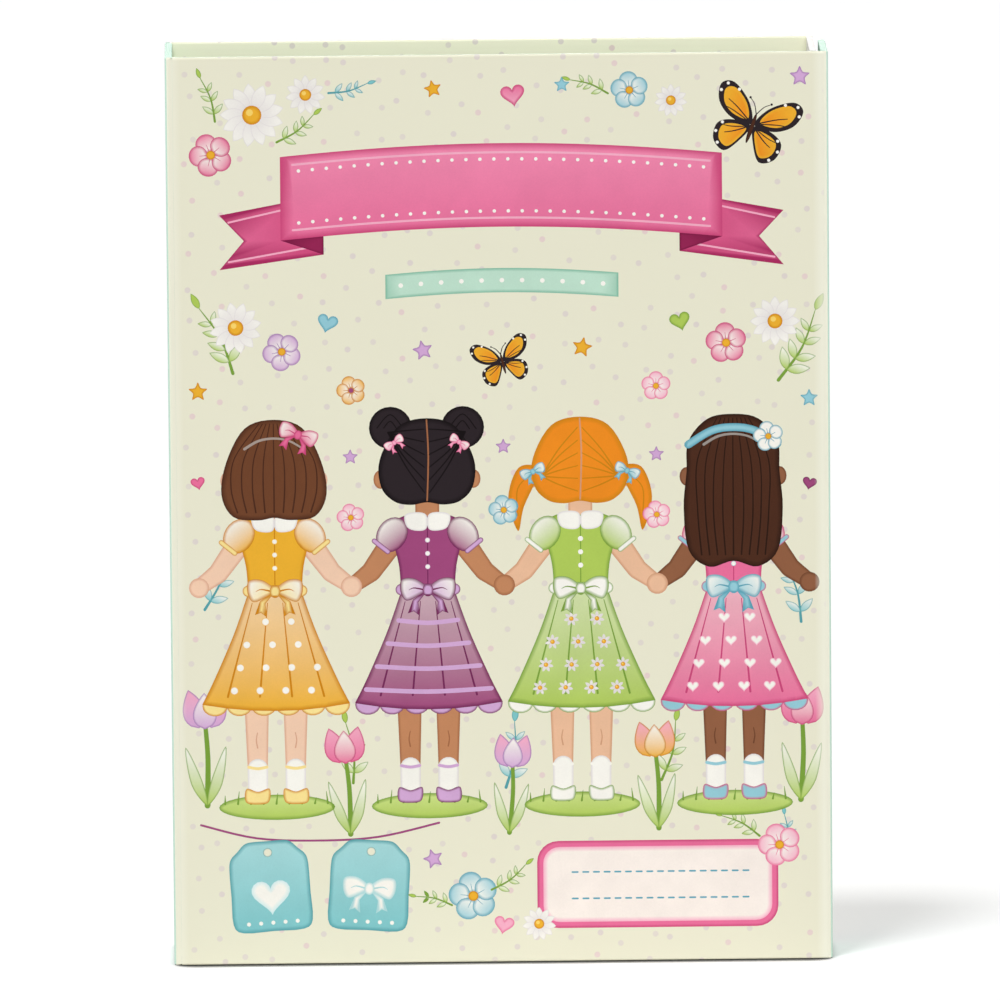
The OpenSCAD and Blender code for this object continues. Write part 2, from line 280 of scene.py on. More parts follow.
def finish(name):
    """Makes each named finish once."""
    if name in FINISHES:
        return FINISHES[name]
    look = bpy.context.scene.kit_finish
    cream = tuple(look.cream)
    mint = tuple(look.mint)
    f = Finish(name)
    if name in ("cover_print", "back_print"):
        mark = f.node("ShaderNodeAttribute", {"attribute_name": "Ink"}, [], "Color")
        cover = Val(f, mark.socket.node.outputs["Alpha"])
        plain = None
        if name == "back_print":
            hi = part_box("back_wrap")[1]
            # the turned-in strips inside the case take the lighter cream: painted light against the shade
            # inside
            turned = ((hi.y - 1.4 * MM - f.y) / (0.3 * MM)).clamp()
            plain = f.mix(cream, CREAM_PAINTED_LIGHTER_INSIDE, turned)
        ground = f.dots(f.x, f.z, look, plain)
        wash = 0.9 + f.noise(70.0, 4.0, 0.62) * 0.2
        grain = 0.95 + f.noise(1500.0, 2.0, 0.7) * 0.1
        inked = f.tint(mark, wash * grain)
        printed = f.mix(ground, inked, cover)
        if name == "cover_print":
            lo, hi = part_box("cover_wrap")
            # painted highlight: a lighter band along the left and right edges, where the paper rounds over
            # the folds
            left = ((lo.x + 1.4 * MM - f.x) / (2.2 * MM) + 0.5).clamp() * 0.4
            right = ((f.x - hi.x + 2.4 * MM) / (2.6 * MM) + 0.5).clamp() * 0.6
            printed = f.mix(printed, ink(247, 247, 231), left.math("MAXIMUM", right))
            # the lining's mint along the inner half of the top edge, painted darker than the lining as
            # shade between the cover and the back
            inner = ((f.y - lo.y - 1.5 * MM) / (0.4 * MM) + 0.5).clamp()
            top = ((f.z - hi.z) / (0.3 * MM) + 2.0).clamp()
            printed = f.mix(printed, ink(140, 190, 164), inner * top * 0.7)
        f.paper(printed)
    elif name == "card_print":
        mark = f.node("ShaderNodeAttribute", {"attribute_name": "Ink"}, [], "Color")
        wash = 0.93 + f.noise(90.0, 4.0, 0.6) * 0.14
        f.paper(f.tint(mark, wash), 0.55)
    elif name == "cream_dotted":
        # the back lining takes the lighter cream: painted light against the shade inside the case
        f.paper(f.dots(f.x, f.z, look, CREAM_PAINTED_LIGHTER_INSIDE))
    elif name == "cream_dotted_side":
        f.paper(f.mix(f.dots(f.y, f.z, look), ink(226, 220, 226), 0.65))
    elif name == "cream_dotted_floor":
        f.paper(f.dots(f.x, f.y, look))
    elif name == "mint_plain":
        f.paper(f.tint(mint, 0.94 + f.noise(45.0, 3.0, 0.6) * 0.12))
    elif name == "mint_dotted":
        f.paper(f.dots(f.x, f.z, look, f.tint(mint, 0.94 + f.noise(45.0, 3.0, 0.6) * 0.12),
                       ink(226, 242, 232)))
    elif name in ("cover_fold", "flap_fold"):
        lo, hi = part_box(name)
        mid, r = (lo.x + hi.x) / 2, (hi.x - lo.x) / 2
        side = -1 if name == "cover_fold" else 1
        away = (f.x - mid) * (side / r)
        # the fold rolls' cream and mint are painted paler than the panels': a painted highlight on the
        # rounded folds, which lifts their shade
        fold_painted_highlight = f.mix(cream, ink(247, 247, 231), 0.4 if side < 0 else 0.6)
        f.paper(f.mix(fold_painted_highlight, f.mix(mint, ink(224, 240, 230), 0.3), ((away - 0.52) / 0.12 + 0.5).clamp()))
    elif name == "grey_board":
        flecks = f.noise(900.0, 4.0, 0.7)
        long = f.node("ShaderNodeMapping", {}, {"Vector": f.place, "Scale": (300.0, 300.0, 2200.0)})
        plies = f.noise(1.0, 3.0, 0.6, long)
        f.use("Base Color", f.tint(ink(158, 152, 140), 0.78 + flecks * 0.3 + plies * 0.12))
        f.bsdf.inputs["Roughness"].default_value = 0.9
        f.bump(flecks + plies * 0.5, 0.1 * MM, 0.5)
    elif name in ("nickel", "steel"):
        f.bsdf.inputs["Metallic"].default_value = 1.0
        swirl = f.noise(700.0, 3.0, 0.6)
        f.use("Base Color", f.tint(ink(206, 204, 200) if name == "nickel" else ink(168, 170, 174),
                                   0.9 + swirl * 0.15))
        f.use("Roughness", 0.2 + swirl * 0.18)
        f.bump(swirl, 0.02 * MM, 0.3)
    elif name == "white_card":
        fibre = f.noise(1800.0, 3.0, 0.6)
        f.use("Base Color", f.tint(ink(246, 243, 234), 0.95 + fibre * 0.07))
        f.use("Roughness", 0.6 + fibre * 0.15)
        f.bump(fibre, 0.05 * MM, 0.3)
    elif name == "perforation":
        f.use("Base Color", f.tint(ink(150, 140, 132), 0.9 + f.noise(900.0) * 0.2))
        f.bsdf.inputs["Roughness"].default_value = 0.85
    FINISHES[name] = f.mat
    return f.mat


def dress_node(node, name):
    """Gives a carried-over solid its finish."""
    mats = NODES[node].data.materials
    mats.clear()
    mats.append(finish(name))


# Outlines, in millimetres on the sheet: x to the right, z up

def ring(x, z, rx, rz=None, lean=0.0, n=28):
    rz = rx if rz is None else rz
    ca, sa = math.cos(lean), math.sin(lean)
    out = []
    for i in range(n):
        a = 2 * math.pi * i / n
        px, pz = rx * math.cos(a), rz * math.sin(a)
        out.append((x + px * ca - pz * sa, z + px * sa + pz * ca))
    return out


def put(points, x, z, lean=0.0, size=1.0):
    ca, sa = math.cos(lean) * size, math.sin(lean) * size
    return [(x + px * ca - pz * sa, z + px * sa + pz * ca) for px, pz in points]


def sized(points, size, side=1):
    """Shares turned into lengths, mirrored where side is -1."""
    return [(side * a * size, b * size) for a, b in points]


def blade(length, width, belly=0.75, n=11):
    """Petal or leaf from its foot at the origin up to its tip; a low belly is full near the foot."""
    right = []
    for i in range(n):
        t = i / (n - 1)
        right.append((width / 2 * math.sin(math.pi * t ** belly) ** 0.85, length * t))
    return right + [(-px, pz) for px, pz in reversed(right[1:-1])]


def curve(points, closed=False, per=8):
    """Smooth line through points."""
    n = len(points)
    out = []
    spans = n if closed else n - 1
    for i in range(spans):
        p = [points[(i + k) % n] if closed else points[min(max(i + k, 0), n - 1)] for k in (-1, 0, 1, 2)]
        for j in range(per):
            t = j / per
            out.append(tuple(0.5 * (2 * p[1][c] + (p[2][c] - p[0][c]) * t
                                    + (2 * p[0][c] - 5 * p[1][c] + 4 * p[2][c] - p[3][c]) * t * t
                                    + (3 * p[1][c] - p[0][c] - 3 * p[2][c] + p[3][c]) * t ** 3)
                                    for c in (0, 1)))
    if not closed:
        out.append(points[-1])
    return out


def stroke(points, w0, w1=None, per=6):
    """Band along a smooth line, from one width to another, with round ends."""
    w1 = w0 if w1 is None else w1
    line = curve(points, per=per) if len(points) > 2 else list(points)
    left, right = [], []
    for i, (x, z) in enumerate(line):
        a = line[max(i - 1, 0)]
        b = line[min(i + 1, len(line) - 1)]
        d = math.hypot(b[0] - a[0], b[1] - a[1]) or 1.0
        nx, nz = -(b[1] - a[1]) / d, (b[0] - a[0]) / d
        w = (w0 + (w1 - w0) * i / (len(line) - 1)) / 2
        left.append((x + nx * w, z + nz * w))
        right.append((x - nx * w, z - nz * w))

    def cap(p, q, n=5):
        cx, cz = (p[0] + q[0]) / 2, (p[1] + q[1]) / 2
        r = math.hypot(p[0] - cx, p[1] - cz)
        a0 = math.atan2(p[1] - cz, p[0] - cx)
        return [(cx + r * math.cos(a0 - math.pi * k / n), cz + r * math.sin(a0 - math.pi * k / n))
                for k in range(1, n)]

    return left + cap(left[-1], right[-1]) + right[::-1] + cap(right[0], left[0])


def capsule(p, rp, q, rq, n=9):
    """Round-ended limb between two circles."""
    d = math.hypot(q[0] - p[0], q[1] - p[1])
    way = math.atan2(q[1] - p[1], q[0] - p[0])
    lean = math.acos(max(-1.0, min(1.0, (rp - rq) / d)))
    out = []
    for c, r, a0, a1 in ((p, rp, way + lean, way + 2 * math.pi - lean), (q, rq, way - lean, way + lean)):
        for i in range(n + 1):
            a = a0 + (a1 - a0) * i / n
            out.append((c[0] + r * math.cos(a), c[1] + r * math.sin(a)))
    return out


def round_box(x0, z0, x1, z1, r, n=6):
    out = []
    for cx, cz, a0 in ((x1 - r, z1 - r, 0), (x0 + r, z1 - r, 90), (x0 + r, z0 + r, 180),
                       (x1 - r, z0 + r, 270)):
        for i in range(n + 1):
            a = math.radians(a0 + 90 * i / n)
            out.append((cx + r * math.cos(a), cz + r * math.sin(a)))
    return out


def inside(points, loop):
    """Which points lie inside an outline, by winding number."""
    a, b = loop, np.roll(loop, -1, 0)
    x, z = points[:, :1], points[:, 1:]
    side = (b[:, 0] - a[:, 0]) * (z - a[:, 1]) - (x - a[:, 0]) * (b[:, 1] - a[:, 1])
    up = (a[:, 1] <= z) & (b[:, 1] > z) & (side > 0)
    down = (a[:, 1] > z) & (b[:, 1] <= z) & (side < 0)
    return up.sum(1) != down.sum(1)


def depth(points, loop):
    """Distance from points to an outline."""
    ab = np.roll(loop, -1, 0) - loop
    ap = points[:, None, :] - loop[None]
    t = np.clip((ap * ab[None]).sum(2) / np.maximum((ab * ab).sum(1)[None], 1e-9), 0, 1)
    return np.linalg.norm(ap - t[..., None] * ab[None], axis=2).min(1)


class Art:
    """A flat print: shapes laid over each other, each with a body colour and a darker rim."""

    def __init__(self):
        self.shapes = []
        self.holes = []

    def add(self, points, fill, edge=None, rim=0.7, to=None, way=(0.0, -1.0), mates=()):
        pts = [points[0]]
        for p in points[1:]:
            if math.hypot(p[0] - pts[-1][0], p[1] - pts[-1][1]) > 0.02:
                pts.append(p)
        if math.hypot(pts[0][0] - pts[-1][0], pts[0][1] - pts[-1][1]) < 0.02:
            pts.pop()
        self.shapes.append((np.array(pts), np.array(fill), np.array(edge if edge else fill), rim,
                            None if to is None else np.array(to), way, mates))

    def union(self, loops, fill, edge, rim):
        """Overlapping outlines shaded as one shape."""
        for loop in loops:
            self.add(loop, fill, edge, rim, mates=[np.array(m) for m in loops if m is not loop])

    def line(self, points, colour, w0, w1=None, edge=None):
        self.add(stroke(points, w0, w1), colour, edge, min(w0, w1 or w0) * 0.4)

    def lay(self, outer, ground, keep_ground):
        """Triangles and corner colours of the print over an outer outline."""
        verts = [Vector(p) for p in outer]
        edges = [(i, (i + 1) % len(outer)) for i in range(len(outer))]
        low, high = np.min(outer, 0) + 0.15, np.max(outer, 0) - 0.15
        shapes = [(np.clip(pts, low, high), *rest) for pts, *rest in self.shapes]
        loops = list(self.holes)
        for pts, _, _, rim, *_ in shapes:
            rings = [pts]
            area = 0.5 * np.sum(pts[:, 0] * np.roll(pts[:, 1], -1) - np.roll(pts[:, 0], -1) * pts[:, 1])
            if abs(area) > 14 * rim * rim:
                way = np.roll(pts, -1, 0) - np.roll(pts, 1, 0)
                way /= np.maximum(np.linalg.norm(way, axis=1, keepdims=True), 1e-6)
                inward = np.stack([-way[:, 1], way[:, 0]], 1) * (1 if area > 0 else -1)
                rings.append((pts + inward * rim)[::2 if len(pts) > 40 else 1])
            loops += rings
        for loop in loops:
            base, n = len(verts), len(loop)
            verts += [Vector(p) for p in loop]
            edges += [(base + i, base + (i + 1) % n) for i in range(n)]
        v, _, f, ov, _, _ = delaunay_2d_cdt(verts, edges, [], 0, 1e-4, True)
        v = np.array([(p[0], p[1]) for p in v])
        tris = np.array([tuple(t) for t in f], int)
        middle = v[tris].mean(1)
        owner = np.where(inside(middle, np.array(outer)), 0, -1)
        for k, (pts, *_) in enumerate(shapes, 1):
            near = np.nonzero((owner >= 0) & np.all((middle > pts.min(0)) & (middle < pts.max(0)), 1))[0]
            owner[near[inside(middle[near], pts)]] = k
        for loop in self.holes:
            owner[inside(middle, np.array(loop))] = -1
        kept = owner >= (0 if keep_ground else 1)
        tris, owner = tris[kept], owner[kept]
        colours = np.zeros((len(tris), 3, 4))
        colours[:] = (*ground, 0.0)
        for k, (pts, fill, edge, rim, to, way, mates) in enumerate(shapes, 1):
            at = np.nonzero(owner == k)[0]
            if not len(at):
                continue
            c = v[tris[at]].reshape(-1, 2)
            d = depth(c, pts)
            for loop in mates:
                d = np.maximum(d, np.where(inside(c, loop), depth(c, loop), 0.0))
            s = np.clip(d / rim, 0, 1)[:, None]
            s = s * s * (3 - 2 * s)
            body = np.repeat(fill[None], len(c), 0)
            if to is not None:
                w = np.array(way) / np.hypot(*way)
                along = pts @ w
                g = np.clip((c @ w - along.min()) / max(np.ptp(along), 1e-6), 0, 1)[:, None]
                body = fill * (1 - g) + to * g
            mixed = edge * (1 - s) + body * s
            colours[at] = np.concatenate([mixed, np.ones((len(c), 1))], 1).reshape(len(at), 3, 4)
        where = {}
        for i, src in enumerate(ov):
            for o in src:
                if o < len(outer):
                    where[o] = i
        return v, tris, colours, [where[i] for i in range(len(outer))]


def mesh_object(name, verts, faces, colours, mat, uvs=None):
    """Mesh with corner colours in the Ink attribute; colours is one (r, g, b, a) per corner."""
    me = bpy.data.meshes.new(name)
    me.from_pydata([tuple(v) for v in verts], [], [tuple(f) for f in faces])
    if colours is not None:
        layer = me.color_attributes.new("Ink", "FLOAT_COLOR", "CORNER")
        layer.data.foreach_set("color", np.asarray(colours, np.float32).ravel())
    if uvs is not None:
        uv = me.uv_layers.new(name="OFBake")
        uv.data.foreach_set("uv", np.asarray(uvs, np.float32).ravel())
    me.materials.append(mat)
    me.validate()
    obj = bpy.data.objects.new(name, me)
    bpy.context.scene.collection.objects.link(obj)
    return obj


def soften(obj, angle):
    me = obj.data
    me.polygons.foreach_set("use_smooth", [True] * len(me.polygons))
    me.set_sharp_from_angle(angle=math.radians(angle))


# Panels: a wrapped board seen as its folded paper, with the print on its outer face

def fold_axis(name):
    lo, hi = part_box(name)
    return Vector(((lo.x + hi.x) / 2, (lo.y + hi.y) / 2))


def panel_frame(name):
    """Origin on the start axis, turn about Z, and length of a panel, from the solids."""
    a, b, c = (fold_axis(fold) for fold in ("cover_fold", "flap_fold", "back_fold"))
    if name == "cover":
        return a, 0.0, b.x - a.x
    if name == "flap":
        return b, 90.0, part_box("flap_wrap")[1].y - b.y
    if name == "spine":
        return c, -90.0, c.y - a.y
    d = Vector((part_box("back_wrap")[1].x, c.y))
    return d, 180.0, d.x - c.x


def build_panel(name, art, mat, ground, start_fold, end_fold):
    """Paper round a panel: rounded top and bottom edges, turned-in strips, and the printed face."""
    look = bpy.context.scene.kit_finish
    origin, turn, length = panel_frame(name)
    lo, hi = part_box("cover_fold")
    half = (hi.x - lo.x) / 2
    h = hi.z - lo.z
    lining = LINING_THICK * MM
    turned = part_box(name + "_lining")[0].z
    r, r2 = look.edge_round, look.edge_round * 0.7
    u0 = half + FOLD_GAP * MM if start_fold else 0.0
    u1 = length - FOLD_KEEP * MM if end_fold else length
    ca, sa = math.cos(math.radians(turn)), math.sin(math.radians(turn))

    def world(u, v, z):
        return (origin.x + u * ca - v * sa, origin.y + u * sa + v * ca, z)

    quarter = [math.pi / 2 * i / 5 for i in range(6)]
    prof = [(-half, r), (-half, h - r)]
    prof += [(-half + r - r * math.cos(a), h - r + r * math.sin(a)) for a in quarter[1:]]
    prof += [(half - r2 + r2 * math.sin(a), h - r2 + r2 * math.cos(a)) for a in quarter]
    prof += [(half, h - turned), (half - lining, h - turned), (half - lining, turned), (half, turned)]
    prof += [(half - r2 + r2 * math.cos(a), r2 - r2 * math.sin(a)) for a in quarter]
    prof += [(-half + r - r * math.sin(a), r - r * math.cos(a)) for a in quarter[:-1]]
    n = len(prof)
    stations = [u0, u1]
    if not start_fold:
        stations = [u0, u0 + r2 * 0.5, u1]
    if not end_fold:
        stations = [u0, u1 - r2 * 0.5, u1]

    def squeeze(v, z, s):
        return (v * (1 - s / half), h / 2 + (z - h / 2) * (1 - s / (h / 2)))

    verts, faces, cols, uvs = [], [], [], []
    for k, u in enumerate(stations):
        s = r2 * 0.5 if ((k == 0 and not start_fold)
                         or (k == len(stations) - 1 and not end_fold)) else 0.0
        for v, z in prof:
            verts.append(world(u, *squeeze(v, z, s)))
    plain = (*ground, 0.0)
    cells = 0

    def cell(count):
        nonlocal cells
        x0 = UV_MARGIN + UV_SPAN * (cells % CELLS_ROW) / CELLS_ROW
        z0 = 0.945 + 0.02 * (cells // CELLS_ROW)
        cells += 1
        box = [(x0, z0), (x0 + 0.016, z0), (x0 + 0.016, z0 + 0.014), (x0, z0 + 0.014)]
        if count == 4:
            return box
        return [(x0 + 0.008 + 0.007 * math.cos(6.283 * i / count),
                 z0 + 0.007 + 0.006 * math.sin(6.283 * i / count))
                for i in range(count)]

    main = 0 if start_fold else 1
    for k in range(len(stations) - 1):
        for i in range(n):
            j = (i + 1) % n
            if i == 0 and k == main:
                continue
            faces.append((k * n + i, k * n + j, (k + 1) * n + j, (k + 1) * n + i))
            cols += [plain] * 4
            uvs += cell(4)
    faces.append(tuple(range(n))[::-1])
    cols += [plain] * n
    uvs += cell(n)
    last = (len(stations) - 1) * n
    faces.append(tuple(last + i for i in range(n)))
    cols += [plain] * n
    uvs += cell(n)
    # printed face: sheet millimetres start at the panel's outer start edge and its foot
    ua, ub = stations[main], stations[main + 1]
    corner = [(ua / MM, r / MM), (ub / MM, r / MM), (ub / MM, (h - r) / MM), (ua / MM, (h - r) / MM)]
    pv, tris, pc, outer = art.lay(corner, ground, True)
    index = {outer[0]: main * n, outer[1]: (main + 1) * n, outer[2]: (main + 1) * n + 1,
             outer[3]: main * n + 1}
    for i, (u, z) in enumerate(pv):
        if i not in index:
            index[i] = len(verts)
            verts.append(world(u * MM, -half, z * MM))
    for tri, c in zip(tris, pc):
        faces.append(tuple(index[i] for i in tri))
        cols += [tuple(x) for x in c]
        uvs += [(UV_MARGIN + UV_SPAN * (pv[i][0] - corner[0][0]) / (corner[1][0] - corner[0][0]),
                 UV_MARGIN + 0.92 * (pv[i][1] - corner[0][1]) / (corner[2][1] - corner[0][1])) for i in tri]
    obj = mesh_object(name + "_paper", verts, faces, cols, mat, uvs)
    soften(obj, 35)
    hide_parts(name + "_wrap")
    return obj


def build_fold(name, panel, body, mat):
    """Paper roll between two panels, and its lip along the outer face to the panel that starts there."""
    lo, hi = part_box(name)
    cx, cy, r = (lo.x + hi.x) / 2, (lo.y + hi.y) / 2, (hi.x - lo.x) / 2
    c = bpy.context.scene.kit_finish.edge_round
    arc = [(r - c + c * math.sin(a), c - c * math.cos(a)) for a in (math.pi / 12 * i for i in range(7))]
    prof = [(q, lo.z + z) for q, z in arc] + [(q, hi.z - z) for q, z in reversed(arc)]
    n = 40
    verts = [(cx + q * math.cos(2 * math.pi * k / n), cy + q * math.sin(2 * math.pi * k / n), z)
             for q, z in prof for k in range(n)]
    faces = [(j * n + k, j * n + (k + 1) % n, (j + 1) * n + (k + 1) % n, (j + 1) * n + k)
             for j in range(len(prof) - 1) for k in range(n)]
    faces += [tuple(range(n))[::-1], tuple((len(prof) - 1) * n + k for k in range(n))]
    turn = math.radians(panel_frame(panel)[1])
    lip = [(0.05 * MM, -r), (r + 0.04 * MM, -r), (r + 0.04 * MM, -r + 0.12 * MM),
           (0.3 * MM, -r + 0.12 * MM)]
    base = len(verts)
    for z in (lo.z + c * 0.6, hi.z - c * 0.6):
        verts += [(cx + u * math.cos(turn) - v * math.sin(turn),
                   cy + u * math.sin(turn) + v * math.cos(turn), z) for u, v in lip]
    faces += [tuple(base + i for i in (3, 2, 1, 0)), tuple(base + 4 + i for i in range(4))]
    faces += [(base + i, base + (i + 1) % 4, base + 4 + (i + 1) % 4, base + 4 + i) for i in range(4)]
    obj = mesh_object(name + "_paper", verts, faces, None, mat)
    soften(obj, 50)
    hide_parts(name)
    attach(obj, body)


def on_card(x0, front, z0, lift=PRINT_LIFT):
    """Turns sheet millimetres into a place just ahead of a card's face."""
    def place(x, z, deep):
        return (x0 + x * MM, front - lift * MM + deep * MM, z0 + z * MM)

    return place


def flat_print(name, art, outer, place, body, mat, keep_ground=False, ground=WHITE):
    """Thin closed printed layer on a card's face; place gives (x, y, z) in metres for sheet millimetres."""
    pv, tris, pc, _ = art.lay(outer, ground, keep_ground)
    used = sorted({int(i) for t in tris for i in t})
    remap = {u: i for i, u in enumerate(used)}
    front = [place(pv[u][0], pv[u][1], 0.0) for u in used]
    back = [place(pv[u][0], pv[u][1], PRINT_LIFT) for u in used]
    m = len(used)
    lo, hi = pv[used].min(0), pv[used].max(0)
    span = np.maximum(hi - lo, 1e-6)
    faces, cols, uvs = [], [], []
    rim = {}

    def uv(i, start):
        return (start + 0.48 * (pv[i][0] - lo[0]) / span[0],
                UV_MARGIN + 0.94 * (pv[i][1] - lo[1]) / span[1])

    for tri, c in zip(tris, pc):
        t = [remap[int(i)] for i in tri]
        faces.append(tuple(t))
        cols += [tuple(x) for x in c]
        uvs += [uv(i, UV_MARGIN) for i in tri]
        faces.append((m + t[2], m + t[1], m + t[0]))
        cols += [tuple(c[2]), tuple(c[1]), tuple(c[0])]
        uvs += [uv(i, 0.51) for i in tri[::-1]]
        for k in range(3):
            a, b = t[k], t[(k + 1) % 3]
            if (b, a) in rim:
                del rim[(b, a)]
            else:
                rim[(a, b)] = (tuple(c[k]), tuple(c[(k + 1) % 3]))
    total = max(len(rim), 1)
    for k, ((a, b), (ka, kb)) in enumerate(rim.items()):
        faces.append((b, a, m + a, m + b))
        cols += [kb, ka, ka, kb]
        x0, x1 = (UV_MARGIN + UV_SPAN * (k + share) / total for share in (0, 0.9))
        uvs += [(x1, 0.965), (x0, 0.965), (x0, 0.985), (x1, 0.985)]
    obj = mesh_object(name, front + back, faces, cols, mat, uvs)
    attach(obj, body)
    return obj


# Printed motifs

def daisy(art, x, z, r, petals=12, petal=WHITE, edge=SHADE, eye=GOLD, lean=0.0):
    for i in range(petals):
        a = lean + 2 * math.pi * i / petals
        art.add(put(blade(r, r * 0.42, 1.25), x, z, a), petal, edge, 0.35, edge,
                (math.sin(a), -math.cos(a)))
    art.add(ring(x, z, r * 0.3, n=18), eye, GOLD_DEEP, r * 0.12)
    art.add(ring(x - r * 0.07, z + r * 0.08, r * 0.11, n=10), ink(250, 214, 110), None, 0.2)


def blossom(art, x, z, r, fill=PINK, edge=PINK_DEEP, eye=GOLD, lean=0.0, petals=5):
    for i in range(petals):
        a = lean + 2 * math.pi * i / petals
        cx, cz = x - math.sin(a) * r * 0.55, z + math.cos(a) * r * 0.55
        art.add(ring(cx, cz, r * 0.46, r * 0.42, a, 20), fill, edge, r * 0.14, WHITE,
                (math.sin(a), -math.cos(a)))
    for i in range(petals):
        a = lean + 2 * math.pi * i / petals
        art.line([(x, z), (x - math.sin(a) * r * 0.5, z + math.cos(a) * r * 0.5)], edge, 0.35, 0.12)
    art.add(ring(x, z, r * 0.2, n=14), eye, GOLD_DEEP, r * 0.08)


def sprig(art, x, z, length, lean=0.0, pairs=4, fill=LIME, edge=LIME_DEEP, bend=0.18):
    tip = put([(0, 0), (bend * length * 0.5, length * 0.5), (bend * length * 0.2, length)], x, z, lean)
    art.line(tip, edge, length * 0.035 + 0.25, 0.25)
    line = curve(tip, per=10)
    for k in range(pairs):
        i = int((0.22 + 0.7 * k / pairs) * (len(line) - 1))
        px, pz = line[i]
        a = math.atan2(line[i + 1][1] - pz, line[i + 1][0] - px) - math.pi / 2
        s = length * (0.3 - 0.035 * k)
        for side in (-1, 1):
            art.add(put(blade(s, s * 0.42, 0.85), px, pz, a + side * 0.85), fill, edge, 0.4, WHITE,
                    (0.4, 0.9))
    px, pz = line[-1]
    art.add(put(blade(length * 0.24, length * 0.1, 0.85), px, pz, lean), fill, edge, 0.4)


def tulip(art, x, z, s, lean=0.0, fill=PINK, edge=PINK_DEEP):
    """Tulip with its foot at (x, z) and its cup at the top."""
    art.line(put([(0, 0), (0.6, s * 0.4), (0, s * 0.72)], x, z, lean), LIME_DEEP, s * 0.05, s * 0.035)
    for side in (-1, 1):
        leaf = sized([(0, 0), (0.13, 0.18), (0.17, 0.5), (0.04, 0.22)], s, side)
        art.add(put(curve(leaf, True, 6), x, z, lean), *LIMES, 0.5, WHITE, (0.2, 1.0))
    for side in (-1, 1):
        art.add(put(blade(s * 0.34, s * 0.2, 0.72), *put([(side * s * 0.05, s * 0.66)], x, z, lean)[0],
                    lean - side * 0.25), fill, edge, 0.6, PINK_PALE, (0, 1))
    art.add(put(blade(s * 0.31, s * 0.2, 0.7), *put([(0, s * 0.65)], x, z, lean)[0], lean),
            fill, edge, 0.7, WHITE, (0, 1))


def heart(art, x, z, s, fill=PINK, edge=PINK_DEEP, lean=0.0, to=None):
    pts = []
    for i in range(30):
        t = 2 * math.pi * i / 30
        high = 13 * math.cos(t) - 5 * math.cos(2 * t) - 2 * math.cos(3 * t) - math.cos(4 * t)
        pts.append((s / 34 * 16 * math.sin(t) ** 3, s / 34 * high))
    art.add(put(pts, x, z, lean), fill, edge, s * 0.12, to)


def star(art, x, z, s, fill=LILAC, edge=LILAC_DEEP, lean=0.0):
    pts = [((s if i % 2 == 0 else s * 0.52) * math.sin(math.pi * i / 5),
            (s if i % 2 == 0 else s * 0.52) * math.cos(math.pi * i / 5))
           for i in range(10)]
    art.add(put(curve(pts, True, 3), x, z, lean), fill, edge, s * 0.2)


def bow(art, x, z, s, fill=AQUA, edge=AQUA_DEEP, lean=0.0):
    for side in (-1, 1):
        tail = [(0, 0), (0.35, -0.45), (0.3, -0.95), (0.52, -0.78), (0.74, -0.86), (0.55, -0.35)]
        loop = [(0, 0.04), (0.45, 0.42), (0.95, 0.4), (1, -0.05), (0.8, -0.38), (0.4, -0.25)]
        fold = [(0.12, 0), (0.5, 0.08), (0.7, 0)]
        art.add(put(sized(tail, s, side), x, z, lean), fill, edge, s * 0.1)
        art.add(put(curve(sized(loop, s, side), True, 5), x, z, lean), fill, edge, s * 0.14, WHITE,
                (side * 1.0, 0.6))
        art.line(put(sized(fold, s, side), x, z, lean), edge, s * 0.07, 0.1)
    art.add(ring(x, z, s * 0.2, s * 0.24, lean, 16), fill, edge, s * 0.1)


def butterfly(art, x, z, s, lean=0.0):
    for side in (-1, 1):
        for pts in ([(0.04, 0.02), (0.25, 0.5), (0.75, 0.85), (1.05, 0.72), (0.95, 0.3), (0.55, 0.02)],
                    [(0.04, -0.02), (0.5, -0.02), (0.82, -0.22), (0.78, -0.62), (0.45, -0.8),
                     (0.18, -0.45)]):
            line = curve(sized(pts, s, side), True, 6)
            art.add(put(line, x, z, lean), BLACK)
            cx = sum(p[0] for p in line) / len(line)
            cz = sum(p[1] for p in line) / len(line)
            inner = [(cx + (a - cx) * 0.74 - side * 0.03 * s, cz + (b - cz) * 0.74) for a, b in line]
            art.add(put(inner, x, z, lean), AMBER, GOLD, s * 0.08, GOLD, (side * 1.0, 0.3))
            for k in range(3):
                q = line[len(line) * (2 + k) // 7]
                art.add(put(ring((q[0] - cx) * 0.87 + cx, (q[1] - cz) * 0.87 + cz, s * 0.04, n=8), x, z,
                            lean), WHITE)
            for bend, tip, wide in (((0.8, 0.75), (1.25, 1.05), 0.035), ((0.95, 0.5), (1.42, 0.6), 0.03)):
                vein = [(side * 0.06 * s, cz * 0.12), (cx * bend[0], cz * bend[1]),
                        (cx * tip[0], cz * tip[1])]
                art.add(put(stroke(vein, s * wide, s * 0.02), x, z, lean), BLACK)
        art.add(put(stroke([(0, s * 0.28), (side * s * 0.12, s * 0.5), (side * s * 0.26, s * 0.62)], 0.35,
                           0.2), x, z, lean), BLACK)
        art.add(put(ring(side * s * 0.27, s * 0.63, s * 0.03, n=8), x, z, lean), BLACK)
    art.add(put(ring(0, -0.08 * s, s * 0.055, s * 0.38, n=18), x, z, lean), BROWN_DEEP, BLACK, s * 0.03)


